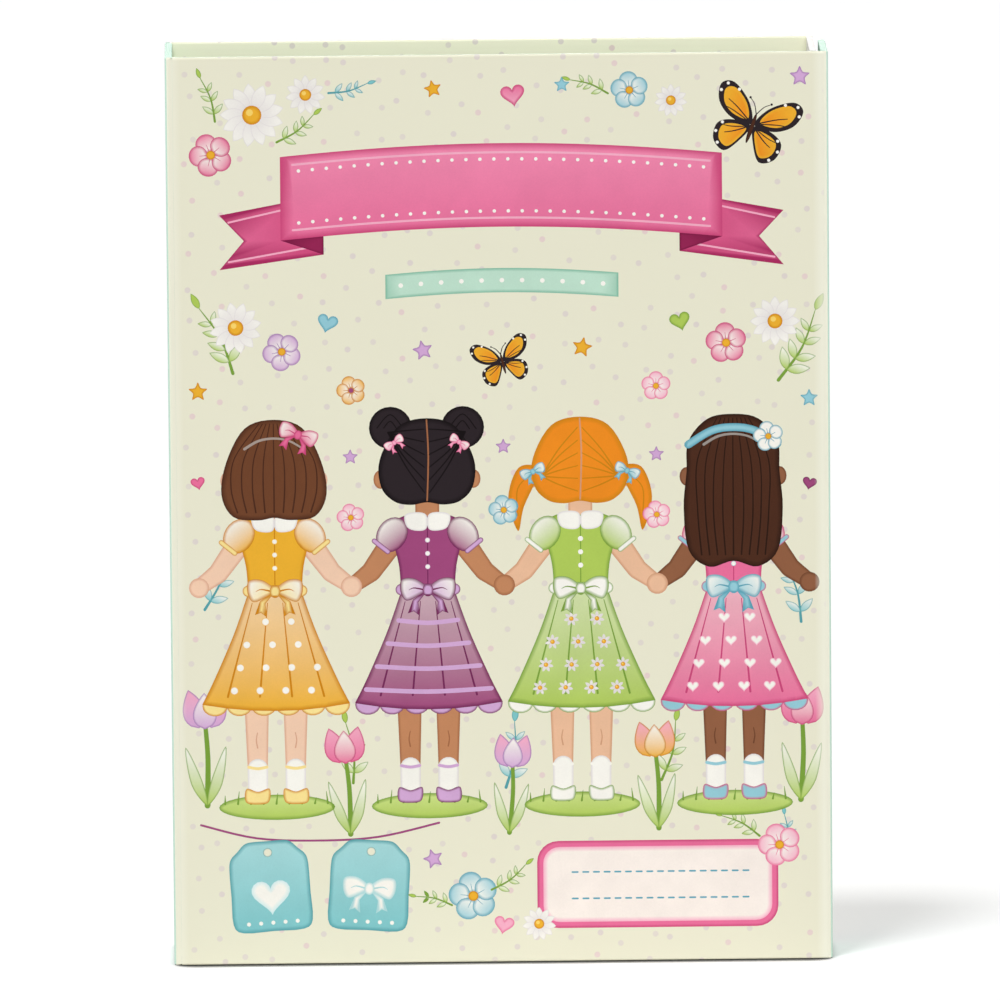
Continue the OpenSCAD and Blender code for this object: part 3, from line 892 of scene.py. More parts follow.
def chain_figure(art, x, z, skin, skin_edge, hair, hair_edge, dress, dress_edge, trim, style):
    """One of a row of figures that hold hands, seen from behind."""
    def at(points, side=1):
        return [(x + side * a, z + b) for a, b in points]

    # patch of grass under the feet
    art.add(ring(x, z + 2.2, 19, 4.2, 0, 32), *LIMES, 1.3, ink(206, 224, 140), (0, 1))
    for k in range(9):
        gx = x - 17 + k * 4.2
        art.line([(gx, z + 3.4), (gx + 0.5 * math.sin(k * 2.1), z + 6.2 + 1.4 * math.sin(k * 1.7))],
                 LIME_DEEP, 0.7, 0.15)
    # legs, socks and shoes
    for side in (-1, 1):
        art.add(at(capsule((side * 6.4, 40), 4.1, (side * 6.2, 10), 3.1)), skin, skin_edge, 0.9)
        art.line(at([(6.2, 27), (6.6, 24.5), (6.2, 22)], side), skin_edge, 0.3, 0.5)
        art.add(at(capsule((side * 6.2, 15), 3.35, (side * 6.2, 9), 3.3)), WHITE, SHADE, 0.8)
        art.line(at([(3.2, 15.6), (6.2, 15.1), (9.2, 15.6)], side), trim, 1.0)
        shoe = [(2.4, 8.4), (2.7, 4.0), (6.4, 3.2), (10.2, 4.0), (10, 8.4), (6.2, 7.4)]
        art.add(at(curve(shoe, True, 5), side), trim, dress_edge, 0.9)
    # neck and arms to the next figure's hands
    art.add(at(capsule((0, 94), 3.9, (0, 102), 3.9)), skin, skin_edge, 0.8)
    for side in (-1, 1):
        art.union([at(capsule((side * 10, 92), 4.0, (side * 18.5, 80), 3.3)),
                   at(capsule((side * 18.5, 80), 3.3, (side * 24.6, 75.5), 2.6))], skin, skin_edge, 1.0)
    # dress: skirt with a scalloped hem, bodice, sleeves, collar and back buttons
    hem = [(-24 + 48 * k / 6, 35.5) for k in range(7)]
    for a, b in zip(hem[:-1], hem[1:]):
        art.add(ring(x + (a[0] + b[0]) / 2, z + 36, 4.15, 3.4, 0, 18), trim, dress_edge, 0.8)
    side_line = curve([(-8.6, 74), (-13.5, 60), (-20, 45), (-24.2, 36.5)], per=6)
    skirt = side_line + [(-16, 35.2), (-8, 34.4), (0, 34.2), (8, 34.4), (16, 35.2)]
    skirt += [(-a, b) for a, b in reversed(side_line)]
    art.add(at(skirt), dress, dress_edge, 1.5, blend(dress, WHITE, 0.4), (0, 1))
    for k in (-1.5, -0.5, 0.5, 1.5):
        art.line(at([(k * 5, 70), (k * 7.5, 56), (k * 10.5, 39)]), dress_edge, 0.25, 0.7)
    bodice = curve([(-8.8, 73), (-9.4, 82), (-11.8, 95), (-6, 99.0)], per=5)
    bodice += [(0, 98.2)] + [(-a, b) for a, b in reversed(bodice)]
    art.add(at(bodice), dress, dress_edge, 1.2)
    art.line(at([(0, 97), (0, 86), (0, 76)]), dress_edge, 0.35)
    for k in range(3):
        art.add(ring(x, z + 81.5 + 4.4 * k, 0.85, n=10), WHITE, trim, 0.3)
    for side in (-1, 1):
        art.add(ring(x + side * 11.6, z + 92.2, 4.9, 6.1, side * 0.55, 22), dress, dress_edge, 1.1, WHITE,
                (side * 0.6, 0.8))
        art.add(at(stroke([(side * 13.0, 86.6), (side * 17.4, 90.2)], 1.7)), trim, dress_edge, 0.5)
        collar = [(0.3, 98.6), (3.6, 99.6), (7.4, 98.6), (6.6, 94.6), (3.2, 93.4), (0.3, 94.2)]
        art.add(at(curve(collar, True, 4), side), WHITE, SHADE, 0.7)
    art.add(at(capsule((-8.7, 74), 1.9, (8.7, 74), 1.9)), trim, dress_edge, 0.6)
    # hair over the back of the head
    for side in (-1, 1):
        art.add(ring(x + side * 15.2, z + 110.5, 2.3, 3.1, 0, 16), skin, skin_edge, 0.8)
    lines = []
    if style == "long":
        fall = [(-15.2, 112), (-16.2, 100), (-14.6, 86), (-8, 80.5), (0, 82.4), (8, 80.5), (14.6, 86),
                (16.2, 100), (15.2, 112), (14.6, 122), (8.4, 129.4), (0, 131), (-8.4, 129.4), (-14.6, 122)]
        art.add(at(curve(fall, True, 5)), hair, hair_edge, 1.8)
        lines = [[(k * 1.3, 129.6), (k * 2.9, 116), (k * 3.0 + 0.5 * math.sin(k), 99), (k * 2.6, 84.5)]
                 for k in range(-4, 5)]
    else:
        if style == "tails":
            for side in (-1, 1):
                tail = curve([(13.4, 113), (20, 114), (23.5, 104), (20.4, 93), (18.4, 101)], True, 6)
                art.add(at(tail, side), hair, hair_edge, 1.4)
                art.line(at([(15.6, 112), (20.4, 107), (20.4, 98)], side), hair_edge, 0.3, 0.5)
        if style == "buns":
            for side in (-1, 1):
                art.add(ring(x + side * 11.8, z + 127.5, 7.0, n=24), hair, hair_edge, 1.4)
                for r in (2.2, 4.4):
                    art.line(at([(side * 11.8 - r, 127.5), (side * 11.8, 127.5 + r),
                                 (side * 11.8 + r, 127)]), hair_edge, 0.35)
        nape = 103.2 if style != "bob" else 98.6
        cap = [(-15.0, 108), (-15.4, 117), (-9.4, 127.8), (0, 130.6), (9.4, 127.8), (15.4, 117),
               (15.0, 108)]
        cap += [(10.8, nape), (5.4, nape - 1.2), (0, nape - 0.4), (-5.4, nape - 1.2), (-10.8, nape)]
        if style == "bob":
            cap[0], cap[6] = (-17.2, 106), (17.2, 106)
            cap[7], cap[11] = (13.4, nape), (-13.4, nape)
        art.add(at(curve(cap, True, 5)), hair, hair_edge, 1.8)
        if style == "bob":
            lines = [[(k * 1.2, 129.2), (k * 3.2, 118), (k * 3.5, 108), (k * 3.0, 100)]
                     for k in range(-4, 5)]
        else:
            art.line(at([(0, 130), (0.5, 118), (0, 103.4)]), skin_edge, 0.5)
            pull = 126 if style == "buns" else 111
            for side in (-1, 1):
                lines += [[(side * 0.8, 127 - 4.2 * k), (side * 7, (127 - 4.2 * k) * 0.55 + pull * 0.45),
                           (side * 12.6, pull)] for k in range(6)]
    for line in lines:
        art.line(at(line), hair_edge, 0.35, 0.55)
    shine = [(-9.5, 121), (-5, 123.6), (0, 124.4), (5, 123.6), (9.5, 121)]
    if style in ("bob", "long"):
        art.line(at(shine), blend(hair, WHITE, 0.3), 0.9, 0.6)


def pattern_on_skirt(art, x, z, kind, colour, edge):
    for row in range(4):
        level = z + 41 + row * 7.6
        wide = 20.5 - row * 3.6
        count = max(2, int(wide * 2 / 8.4))
        for k in range(count):
            px = x + (k - (count - 1) / 2) * 8.4 + (2.0 if row % 2 else -2.0) * 0.5
            if kind == "dots":
                art.add(ring(px, level, 1.35, n=12), colour, edge, 0.4)
            elif kind == "hearts":
                heart(art, px, level, 4.2, colour, edge)
            elif kind == "daisies":
                daisy(art, px, level, 2.5, 7)
            elif kind == "bands" and k == 0:
                art.line([(x - wide, level), (x, level - 0.9), (x + wide, level)], colour, 1.5)


def banner(art):
    """Blank ribbon across the top, with folded tails."""
    def arch(px, level):
        return level + 7.0 * math.cos((px - 108) / 88 * 1.35)

    for side in (-1, 1):
        x0, x1 = 108 + side * 58, 108 + side * 92
        tail = [(x0, arch(x0, 250)), (x1, arch(x1, 247)), (108 + side * 84, arch(x1, 238.5)),
                (x1, arch(x1, 229)), (x0, arch(x0, 230.5))]
        art.add(tail, PINK_DEEP, ink(170, 46, 96), 1.4, PINK, (side * 1.0, 0))
        for up, low in ((247.4, 244.6), (233.0, 231.6)):
            art.line([(x0 + side * 4, arch(x0, up)), (x1 - side * 3, arch(x1, low))], PINK_PALE, 0.6)
    top = [(36 + 144 * k / 24, arch(36 + 144 * k / 24, 264)) for k in range(25)]
    low = [(px, arch(px, 236.5)) for px, _ in top]
    for side in (-1, 1):
        xe = 108 + side * 72
        xi = 108 + side * 58
        art.add([(xe, arch(xe, 236.5)), (xi, arch(xi, 236.5)), (xi, arch(xi, 230.5))], ink(150, 38, 84),
                ink(120, 26, 66), 0.8)
    art.add(top + low[::-1], *PINKS, 2.2, ink(242, 140, 176), (0, 1))
    for level in (261.0, 239.5):
        art.line([(px, arch(px, level)) for px in (40, 62, 86, 108, 130, 154, 176)], PINK_PALE, 0.7)
    for k in range(30):
        px = 42 + 132 * k / 29
        for level in (258.8, 241.7):
            art.add(ring(px, arch(px, level), 0.6, n=8), WHITE)
    # small strip under the ribbon
    strip = [(70 + 76 * k / 14, 223.0 + 2.9 * math.cos((70 + 76 * k / 14 - 108) / 44 * 1.4))
             for k in range(15)]
    art.add([(a, b + 4.0) for a, b in strip] + [(a, b - 4.0) for a, b in reversed(strip)],
            ink(192, 226, 206), ink(124, 186, 160), 1.1)
    for k in range(11):
        px = 75 + 66 * k / 10
        art.add(ring(px, 223.0 + 2.9 * math.cos((px - 108) / 44 * 1.4), 0.8, n=8), WHITE, None, 0.3)


def name_plate(art):
    """Blank label with ruled lines."""
    art.add(round_box(118, 11, 197, 40, 7), *PINKS, 1.0)
    art.add(round_box(120, 13, 195, 38, 5.4), ink(250, 240, 232), PINK_PALE, 1.6)
    for level in (20.8, 29.6):
        for k in range(17):
            art.add(capsule((129.5 + k * 3.5, level), 0.28, (131.3 + k * 3.5, level), 0.28, 3), AQUA_DEEP)
    sprig(art, 191, 41.0, 14, 1.1, 3)
    sprig(art, 200, 35, 13, 0.1, 3, *TEALS)
    blossom(art, 197.5, 38.0, 7.4, *PALES, lean=0.3)
    daisy(art, 118.5, 12.5, 5.6, 11)


def hang_tags(art):
    """Two tags on a thread, one with a heart and one with a bow."""
    art.line([(8, 46.5), (26, 42.0), (46, 41), (66, 42.0), (86, 46.5)], PLUM, 0.7)
    for x, lean, mark in ((30.5, 0.07, "heart"), (63, -0.06, "bow")):
        body = [(-13, -15), (13, -15), (13, 9), (7, 15), (-7, 15), (-13, 9)]
        soft = []
        for a, b in zip(body, body[1:] + body[:1]):
            soft += [(a[0] + (b[0] - a[0]) * t, a[1] + (b[1] - a[1]) * t) for t in (0.12, 0.5, 0.88)]
        art.add(put(curve(soft, True, 3), x, 26, lean), *TEALS, 1.4, ink(168, 218, 220), (0, 1))
        art.add(put(ring(0, 11.2, 1.5, n=14), x, 26, lean), CREAM, TEAL_DEEP, 0.4)
        if mark == "heart":
            heart(art, *put([(0, -3)], x, 26, lean)[0], 13.5, WHITE, ink(214, 238, 238), lean)
        else:
            bow(art, *put([(0, -1.2)], x, 26, lean)[0], 8.6, WHITE, ink(176, 218, 220), lean)
        for k in range(5):
            art.add(put(ring(-8 + k * 4, -12.2, 0.7, n=8), x, 26, lean), WHITE)


def cover_art():
    art = Art()
    # loose flowers and leaves round the edge, behind everything else
    sprig(art, 20, 196, 24, 0.5, 4)
    sprig(art, 198, 192, 26, -0.45, 4)
    sprig(art, 10, 118, 20, -0.35, 3, *TEALS)
    sprig(art, 205, 112, 20, 0.3, 3, *TEALS)
    sprig(art, 58, 60, 20, 0.15, 3)
    sprig(art, 108, 58, 22, -0.1, 4, *TEALS)
    sprig(art, 159, 60, 20, -0.2, 3)
    tulip(art, 57, 43, 36, 0.06)
    tulip(art, 109, 43, 33, -0.05, *LILACS)
    tulip(art, 158, 44, 36, 0.04, *GOLDS)
    tulip(art, 10.2, 53, 39, 0.02, *LILACS)
    tulip(art, 204.6, 53, 38, -0.02)
    name_plate(art)
    hang_tags(art)
    blossom(art, 97, 22, 8.4, *AQUAS, GOLD, 0.2)
    sprig(art, 103, 24, 14, -0.9, 3)
    sprig(art, 90, 19, 12, 1.35, 3)
    heart(art, 107, 12.5, 7, *PALES, -0.2)
    star(art, 84, 34.5, 3.4, *LILACS, 0.3)
    # figures hand in hand
    looks = [
        (33, 0, *BROWNS, *GOLDS, ink(250, 226, 150), "bob", "dots", WHITE, GOLD),
        (83, 1, BLACK, ink(20, 14, 16), *PLUMS, LILAC, "buns", "bands", LILAC, None),
        (133, 2, AMBER, GOLD_DEEP, *LIMES, WHITE, "tails", "daisies", WHITE, None),
        (183, 3, BROWN_DEEP, ink(46, 26, 18), *PINKS, AQUA, "long", "hearts", WHITE, PINK_PALE),
    ]
    for x, s, hair, hair_e, dress, dress_e, trim, style, kind, mark, mark_e in looks:
        chain_figure(art, x, 50, SKINS[s], SKIN_EDGES[s], hair, hair_e, dress, dress_e, trim, style)
        pattern_on_skirt(art, x, 50, kind, mark, mark_e)
    for x, s in ((58, 0), (108, 1), (158, 2)):
        art.add(ring(x, 125.2, 3.5, n=18), SKINS[s], SKIN_EDGES[s], 1.1)
    for x, s in ((8.2, 0), (207.8, 3)):
        art.add(ring(x, 125.2, 3.3, n=18), SKINS[s], SKIN_EDGES[s], 1.0)
    bow(art, 41, 175.5, 6.4, *PINKS, -0.35)
    for side in (-1, 1):
        bow(art, 83 + side * 10.6, 172.6, 3.4, *PALES, -side * 0.6)
        bow(art, 133 + side * 15.4, 162.6, 4.2, *AQUAS, -side * 0.4)
    art.line([(168.4, 171), (176, 175.5), (183, 176.6), (190, 175.5), (197.6, 171)], AQUA, 2.6, None,
             AQUA_DEEP)
    blossom(art, 194.6, 173.5, 5.2, WHITE, AQUA_DEEP, GOLD, 0.2)
    for x, fill, edge in ((33, ink(250, 226, 150), GOLD_DEEP), (83, LILAC, PLUM_DEEP),
                          (133, WHITE, LIME_DEEP), (183, *AQUAS)):
        bow(art, x, 123.8, 9.0, fill, edge)
    # between the ribbon and the heads
    banner(art)
    butterfly(art, 190, 276, 13.5, -0.35)
    butterfly(art, 108, 199, 9.0, 0.25)
    daisy(art, 27, 281, 10.5, 13, lean=0.1)
    daisy(art, 44.5, 287.5, 6.5, 11)
    blossom(art, 13.5, 268, 7.4, *PINKS, GOLD, 0.4)
    sprig(art, 35, 272, 15, -0.9, 3)
    sprig(art, 15, 279, 15, 0.35, 3)
    sprig(art, 52, 288, 13, -1.3, 3, *TEALS)
    blossom(art, 150, 288, 6.4, *AQUAS, GOLD, 0.1)
    daisy(art, 163.5, 284.5, 5.4, 11)
    sprig(art, 143, 287, 13, 1.25, 3)
    star(art, 205.5, 292, 3.4)
    star(art, 86, 289, 3.0, *GOLDS, 0.2)
    heart(art, 112, 287, 8.4, *PINKS, 0.15, PINK_PALE)
    star(art, 128, 290, 2.6, *AQUAS)
    daisy(art, 21, 211, 8.6, 12, lean=0.2)
    blossom(art, 36, 203, 6.6, *LILACS, GOLD, 0.5)
    heart(art, 51, 212.5, 7.2, *AQUAS, -0.25)
    heart(art, 166, 212, 7.2, *LIMES, 0.25)
    blossom(art, 181, 204.5, 7.0, *PINKS, GOLD, 0.1)
    daisy(art, 197, 211.5, 8.2, 12)
    blossom(art, 58.5, 190, 5.0, *GOLDS, PLUM, 0.3)
    blossom(art, 158, 190.5, 5.0, *PALES, GOLD, 0.0)
    star(art, 82, 203, 3.4, *LILACS, 0.2)
    star(art, 134, 203.5, 3.4, *GOLDS, -0.2)
    star(art, 8.5, 190, 3.2, *GOLDS)
    star(art, 208, 186, 3.0, *AQUAS)
    heart(art, 8.2, 160, 5.0, *PINKS, 0.2)
    heart(art, 208, 158, 5.0, *PLUMS, -0.2)
    for x, z, r in ((58, 148, 4.8), (108, 150, 5.2), (158, 148, 4.8)):
        blossom(art, x, z, r, *(AQUAS if x == 108 else PALES), GOLD, 0.2)
    for x, z in ((58, 168), (108, 171), (158, 168)):
        star(art, x, z, 2.6, *LILACS)
    return art


def back_art():
    """Wreath in the middle of the back, and a small row near the foot."""
    art = Art()
    cx, cz = 105, 158
    for k in range(16):
        a = 2 * math.pi * k / 16
        sprig(art, cx + 44 * math.cos(a), cz + 44 * math.sin(a), 17, a + 0.35, 3,
              *(LIMES if k % 2 else TEALS))
    for k in range(12):
        a = 2 * math.pi * k / 12 + 0.13
        x, z = cx + 46 * math.cos(a), cz + 46 * math.sin(a)
        if k % 3 == 0:
            daisy(art, x, z, 8.0, 12)
        elif k % 3 == 1:
            blossom(art, x, z, 7.0, *PINKS, GOLD, a)
        else:
            blossom(art, x, z, 6.0, *(LILACS if k % 2 else AQUAS), GOLD, a)
    bow(art, cx, cz - 52, 13, *PINKS)
    heart(art, cx, cz, 22, *PALES, 0.0, PINK)
    for k in range(8):
        a = 2 * math.pi * k / 8
        star(art, cx + 24 * math.cos(a), cz + 24 * math.sin(a), 2.4, *(GOLDS if k % 2 else LILACS), a)
    for right in (-1, 1):
        for up in (-1, 1):
            x, z = cx + right * 84, 150 + up * 122
            turn = math.atan2(right, -up)
            for lean in (-0.9, -0.3, 0.3, 0.9):
                sprig(art, x, z, 25 - 7 * abs(lean), turn + lean, 4, *(LIMES if lean > 0 else TEALS))
            blossom(art, x - right * 11, z, 6.4, *LILACS, GOLD, 0.3)
            blossom(art, x, z - up * 11, 6.4, *AQUAS, GOLD, 0.6)
            daisy(art, x, z, 9.0, 12, lean=0.2)
    for k in range(7):
        x = cx - 66 + 22 * k
        if k % 2:
            heart(art, x, 34, 8, *(PINKS if k % 4 == 1 else AQUAS))
        else:
            star(art, x, 34, 3.6, *(LILACS if k % 4 else GOLDS))
    return art


# Card figures inside the case: the printed face keeps a white border inside the cut outline

FIGURE = {
    "leg": [(0.032, 0.44, 0.032), (0.031, 0.2, 0.02), (0.028, 0.1, 0.016)],
    "shoe": [(0.028, 0.098, 0.018), (0.04, 0.088, 0.019)],
    "torso": [(0, 0.61, 0.05), (0, 0.535, 0.046), (0, 0.465, 0.058)],
    "shoulder": [(-0.07, 0.655, 0.02), (0.07, 0.655, 0.02)],
    "arm": [(0.072, 0.65, 0.02), (0.108, 0.535, 0.016), (0.148, 0.432, 0.0125)],
    "hand": [(0.148, 0.432, 0.0125), (0.157, 0.414, 0.018)],
    "neck": [(0, 0.65, 0.021), (0, 0.74, 0.021)],
}


# Slots of the card: place as a share of the height, half width and top in millimetres
SLOT_SHARE = 0.068
SLOT_HALF = 1.0
SLOT_TOP = 9.3


def limb(name, tall, inset, side=1):
    pts = FIGURE[name]
    return [capsule((side * p[0] * tall, p[1] * tall), max(p[2] * tall - inset, 0.6),
                    (side * q[0] * tall, q[1] * tall), max(q[2] * tall - inset, 0.6))
            for p, q in zip(pts[:-1], pts[1:])]


def figure_art(tall, inset, skin, skin_edge, hair, hair_edge, slip, slip_edge, shoe, style):
    art = Art()
    t = tall
    r = 0.066 * t - inset
    base = capsule((-0.08 * t, 0.02 * t), r, (0.08 * t, 0.02 * t), r, 20)
    base = [(x, max(z, inset)) for x, z in base]
    art.add(base, *LIMES, 1.8, ink(214, 228, 150), (0, 1))
    for k in range(11):
        x = -26 + 5.2 * k
        art.line([(x, 10.5 - abs(x) * 0.14), (x + math.sin(k * 2.3), 14.0 - abs(x) * 0.2)], LIME_DEEP,
                 0.8, 0.2)
    for k in range(4):
        daisy(art, -20 + 13.4 * k, 6.0 + 1.6 * (k % 2), 2.6, 8)
    if style == "bob":
        for side in (-1, 1):
            art.add(capsule((side * 0.06 * t, 0.86 * t), 0.06 * t - inset, (side * 0.078 * t, 0.782 * t),
                            0.045 * t - inset),
                    hair, hair_edge, 1.6)
    else:
        for side in (-1, 1):
            art.add(ring(side * 0.084 * t, 0.934 * t, 0.051 * t - inset, n=28), hair, hair_edge, 1.6)
            art.line([(side * 0.06 * t, 0.9 * t), (side * 0.076 * t, 0.918 * t)], PINK, 3.4, 3.0,
                     PINK_DEEP)
    art.add(ring(0, 0.845 * t, 0.111 * t - inset, n=44), hair, hair_edge, 2.0)
    upper = limb("neck", t, inset * 0.6) + limb("shoulder", t, inset)
    for side in (-1, 1):
        art.union(limb("leg", t, inset, side), skin, skin_edge, 1.0)
        upper += limb("arm", t, inset, side) + limb("hand", t, inset, side)
    art.union(upper, skin, skin_edge, 1.0)
    for side in (-1, 1):
        art.add(capsule((side * 0.0292 * t, 0.15 * t), 0.019 * t - inset * 0.4,
                        (side * 0.0283 * t, 0.105 * t), 0.0175 * t - inset * 0.4),
                WHITE, SHADE, 0.9)
        art.union(limb("shoe", t, inset * 0.5, side), shoe, PLUM_DEEP, 0.9)
    # slip with a lace hem
    art.union(limb("torso", t, inset * 0.7), slip, slip_edge, 1.2)
    hem = 0.405 * t
    skirt = [(-0.046 * t, 0.535 * t), (0.046 * t, 0.535 * t), (0.066 * t, hem), (-0.066 * t, hem)]
    art.add(skirt, slip, slip_edge, 1.2, WHITE, (0, 1))
    for k in range(7):
        art.add(ring((-0.066 + 0.132 * (k + 0.5) / 7) * t, hem, 0.0102 * t, n=12), WHITE, slip_edge, 0.7)
    for side in (-1, 1):
        art.line([(side * 0.03 * t, 0.625 * t), (side * 0.042 * t, 0.66 * t)], slip, 2.4, 2.0, slip_edge)
    bow(art, 0, 0.6 * t, 3.2, *PINKS)
    # head with a plain drawn face
    art.add(ring(0, 0.818 * t, 0.092 * t - inset * 0.8, n=44), skin, skin_edge, 1.8)
    for side in (-1, 1):
        art.add(ring(side * 0.046 * t, 0.792 * t, 0.0135 * t, n=18),
                blend(skin, PINK_PALE, 0.5), skin, 2.0)
        art.add(ring(side * 0.034 * t, 0.818 * t, 0.0085 * t, 0.0115 * t, n=18), BROWN_DEEP, BLACK, 0.5)
        art.add(ring(side * 0.034 * t + 0.6, 0.8215 * t, 0.0026 * t, n=8), WHITE)
        art.line(sized([(0.022, 0.843), (0.034, 0.847), (0.046, 0.842)], t, side), hair_edge, 0.8, 0.6)
    art.line(sized([(-0.006, 0.799), (0.001, 0.7965), (0.006, 0.799)], t), skin_edge, 0.6, 0.5)
    art.line(sized([(-0.018, 0.7775), (0.0, 0.7715), (0.018, 0.7775)], t), PINK_DEEP, 1.0, 0.9)
    fringe = [(-0.09, 0.82), (-0.099, 0.868), (-0.064, 0.93), (0, 0.948), (0.064, 0.93), (0.099, 0.868),
              (0.09, 0.82), (0.075, 0.856), (0.04, 0.872), (0, 0.876), (-0.04, 0.868), (-0.075, 0.852)]
    art.add(curve(sized(fringe, t), True, 6), hair, hair_edge, 1.8)
    for k in range(-4, 5):
        art.line([(k * 0.008 * t, 0.943 * t), (k * 0.014 * t, 0.915 * t),
                  (k * 0.0165 * t, (0.879 - 0.003 * abs(k)) * t)],
                 hair_edge, 0.4, 0.7)
    if style == "bob":
        for side in (-1, 1):
            art.add(capsule((side * 0.012 * t, 0.956 * t), 0.012 * t, (side * 0.046 * t, 0.966 * t),
                            0.033 * t - inset),
                    *PINKS, 1.2, PINK_PALE, (side * 1.0, 0.2))
        art.add(ring(0, 0.957 * t, 0.015 * t, n=18), *PINKS, 0.9)
    # the print is cut where the card is slotted for its stand
    for side in (-1, 1):
        x0, x1 = side * SLOT_SHARE * t - SLOT_HALF, side * SLOT_SHARE * t + SLOT_HALF
        art.holes.append([(x0, -SLOT_HALF), (x1, -SLOT_HALF), (x1, SLOT_TOP), (x0, SLOT_TOP)])
    return art


def strap(side, g):
    """Shoulder strap of a garment, up to its fold-over tab."""
    x, w = side * 0.049, 0.0134 - g
    return [(x - w, 0.6), (x + w, 0.6), (x + w, 0.674), (x - w, 0.674)]


def garment_dress(art, t, inset, fill, edge, trim, at=(0.0, 0.0), size=1.0):
    def here(points):
        return put(sized(points, t), *at, 0.0, size)

    g = inset / t
    for k in range(6):
        r = 0.142 / 6
        art.add(put(ring((-0.142 + (2 * k + 1) * r) * t, 0.3 * t, r * t - inset, n=20), *at, 0.0, size),
                trim, edge, 1.0 * size)
    for side in (-1, 1):
        art.add(here(strap(side, g)), fill, edge, 0.6 * size)
    art.add(here([(-0.05 + g, 0.54), (0.05 - g, 0.54), (0.142 - g * 2, 0.3), (-0.142 + g * 2, 0.3)]),
            fill, edge, 1.8 * size, blend(fill, WHITE, 0.4), (0, 1))
    for k in (-2, -1, 0, 1, 2):
        art.line(here([(k * 0.014, 0.525), (k * 0.028, 0.43), (k * 0.046, 0.315)]), edge, 0.4 * size,
                 1.0 * size)
    for row in range(3):
        wide = 0.055 + 0.026 * row
        count = 3 + row * 2
        for k in range(count):
            heart(art, *here([((k - (count - 1) / 2) * wide * 2 / count, 0.46 - 0.055 * row)])[0],
                  4.6 * size, WHITE, trim)
    art.add(here([(-0.064 + g, 0.63 - g), (-0.035, 0.615), (0, 0.606), (0.035, 0.615),
                  (0.064 - g, 0.63 - g), (0.06 - g, 0.585), (0.05 - g, 0.53), (-0.05 + g, 0.53),
                  (-0.06 + g, 0.585)]), fill, edge, 1.2 * size)
    art.add(here([(-0.05 + g, 0.545), (0.05 - g, 0.545), (0.052 - g, 0.525), (-0.052 + g, 0.525)]), trim,
            edge, 0.8 * size)
    bow(art, *here([(0.0, 0.534)])[0], 5.4 * size, trim, edge)
    for k in range(3):
        art.add(put(ring(0, (0.565 + 0.016 * k) * t, 0.95, n=10), *at, 0.0, size), WHITE, trim, 0.3)


def garment_coat(art, t, inset, fill, edge, trim, at=(0.0, 0.0), size=1.0):
    """Coat with sleeves, collar, pockets and buttons."""
    def here(points):
        return put(sized(points, t), *at, 0.0, size)

    g = inset / t
    for side in (-1, 1):
        art.add(here(strap(side, g)), fill, edge, 0.6 * size)
        sleeve = [(0.07, 0.635, 0.029), (0.108, 0.535, 0.025), (0.141, 0.45, 0.023)]
        art.union([put(capsule((side * p[0] * t, p[1] * t), p[2] * t - inset, (side * q[0] * t, q[1] * t),
                               q[2] * t - inset), *at, 0.0, size)
                   for p, q in zip(sleeve[:-1], sleeve[1:])], fill, edge, 1.2 * size)
        art.add(here([(side * 0.1195, 0.4565), (side * 0.128, 0.4745), (side * 0.164, 0.457),
                      (side * 0.156, 0.4395)]), trim, edge, 0.8 * size)
    art.add(here([(-0.075 + g, 0.63 - g), (0.075 - g, 0.63 - g), (0.062 - g, 0.55), (0.098 - g, 0.36 + g),
                  (-0.098 + g, 0.36 + g), (-0.062 + g, 0.55)]),
            fill, edge, 1.8 * size, blend(fill, WHITE, 0.35), (0, 1))
    art.add(here([(-0.0975 + g, 0.376), (0.0975 - g, 0.376), (0.098 - g, 0.36 + g),
                  (-0.098 + g, 0.36 + g)]), trim, edge, 0.6 * size)
    art.line(here([(0.0, 0.6), (0.0, 0.48), (0.0, 0.378)]), edge, 0.8 * size)
    art.add(here([(-0.059, 0.546), (0.059, 0.546), (0.0615, 0.528), (-0.0615, 0.528)]), trim, edge,
            0.8 * size)
    for side in (-1, 1):
        art.add(here([(side * 0.028, 0.468), (side * 0.064, 0.468), (side * 0.068, 0.425),
                      (side * 0.03, 0.425)]), fill, edge, 0.9 * size)
        art.line(here([(side * 0.028, 0.468), (side * 0.046, 0.4675), (side * 0.064, 0.468)]), trim,
                 1.6 * size)
        art.add(here([(0.0, 0.592), (side * 0.022, 0.636), (side * 0.058, 0.638), (side * 0.052, 0.596),
                      (side * 0.02, 0.578)]), trim, edge, 1.0 * size)
    for z in (0.565, 0.505, 0.455, 0.405):
        for side in (-1, 1):
            art.add(put(ring(side * 0.013 * t, z * t, 1.5, n=14), *at, 0.0, size), *GOLDS, 0.6)


def garment_hat(art, x, z, fill, edge, trim):
    crown = [(-11, 1), (-9.5, 9), (-4, 13.5), (4, 13.5), (9.5, 9), (11, 1), (0, -1.5)]
    band = [(-11.2, 0.6), (0, -1.8), (11.2, 0.6), (10.7, 4.2), (0, 2.0), (-10.7, 4.2)]
    art.add(ring(x, z, 19, 5.2, 0, 32), fill, edge, 1.2)
    art.add(put(curve(crown, True, 6), x, z), fill, edge, 1.3, WHITE, (-0.3, 1))
    art.add(put(band, x, z), trim, edge, 0.8)


def garment_shoes(art, x, z, fill, edge):
    shoe = curve([(-4, 8), (-4, 0), (1, -1), (7, 0), (7, 3.4), (2.4, 5), (1.6, 8.4)], True, 5)
    for side in (-1, 1):
        art.add([(x + side * (8 + a), z + b) for a, b in shoe], fill, edge, 0.9)


def garment_bag(art, x, z, fill, edge, trim):
    art.line(put([(-6, 5), (-3, 13), (3, 13), (6, 5)], x, z), edge, 1.5)
    art.add(round_box(x - 9, z - 7, x + 9, z + 6, 3.2), fill, edge, 1.2, WHITE, (0, 1))
    heart(art, x, z - 0.5, 6.4, trim, edge)


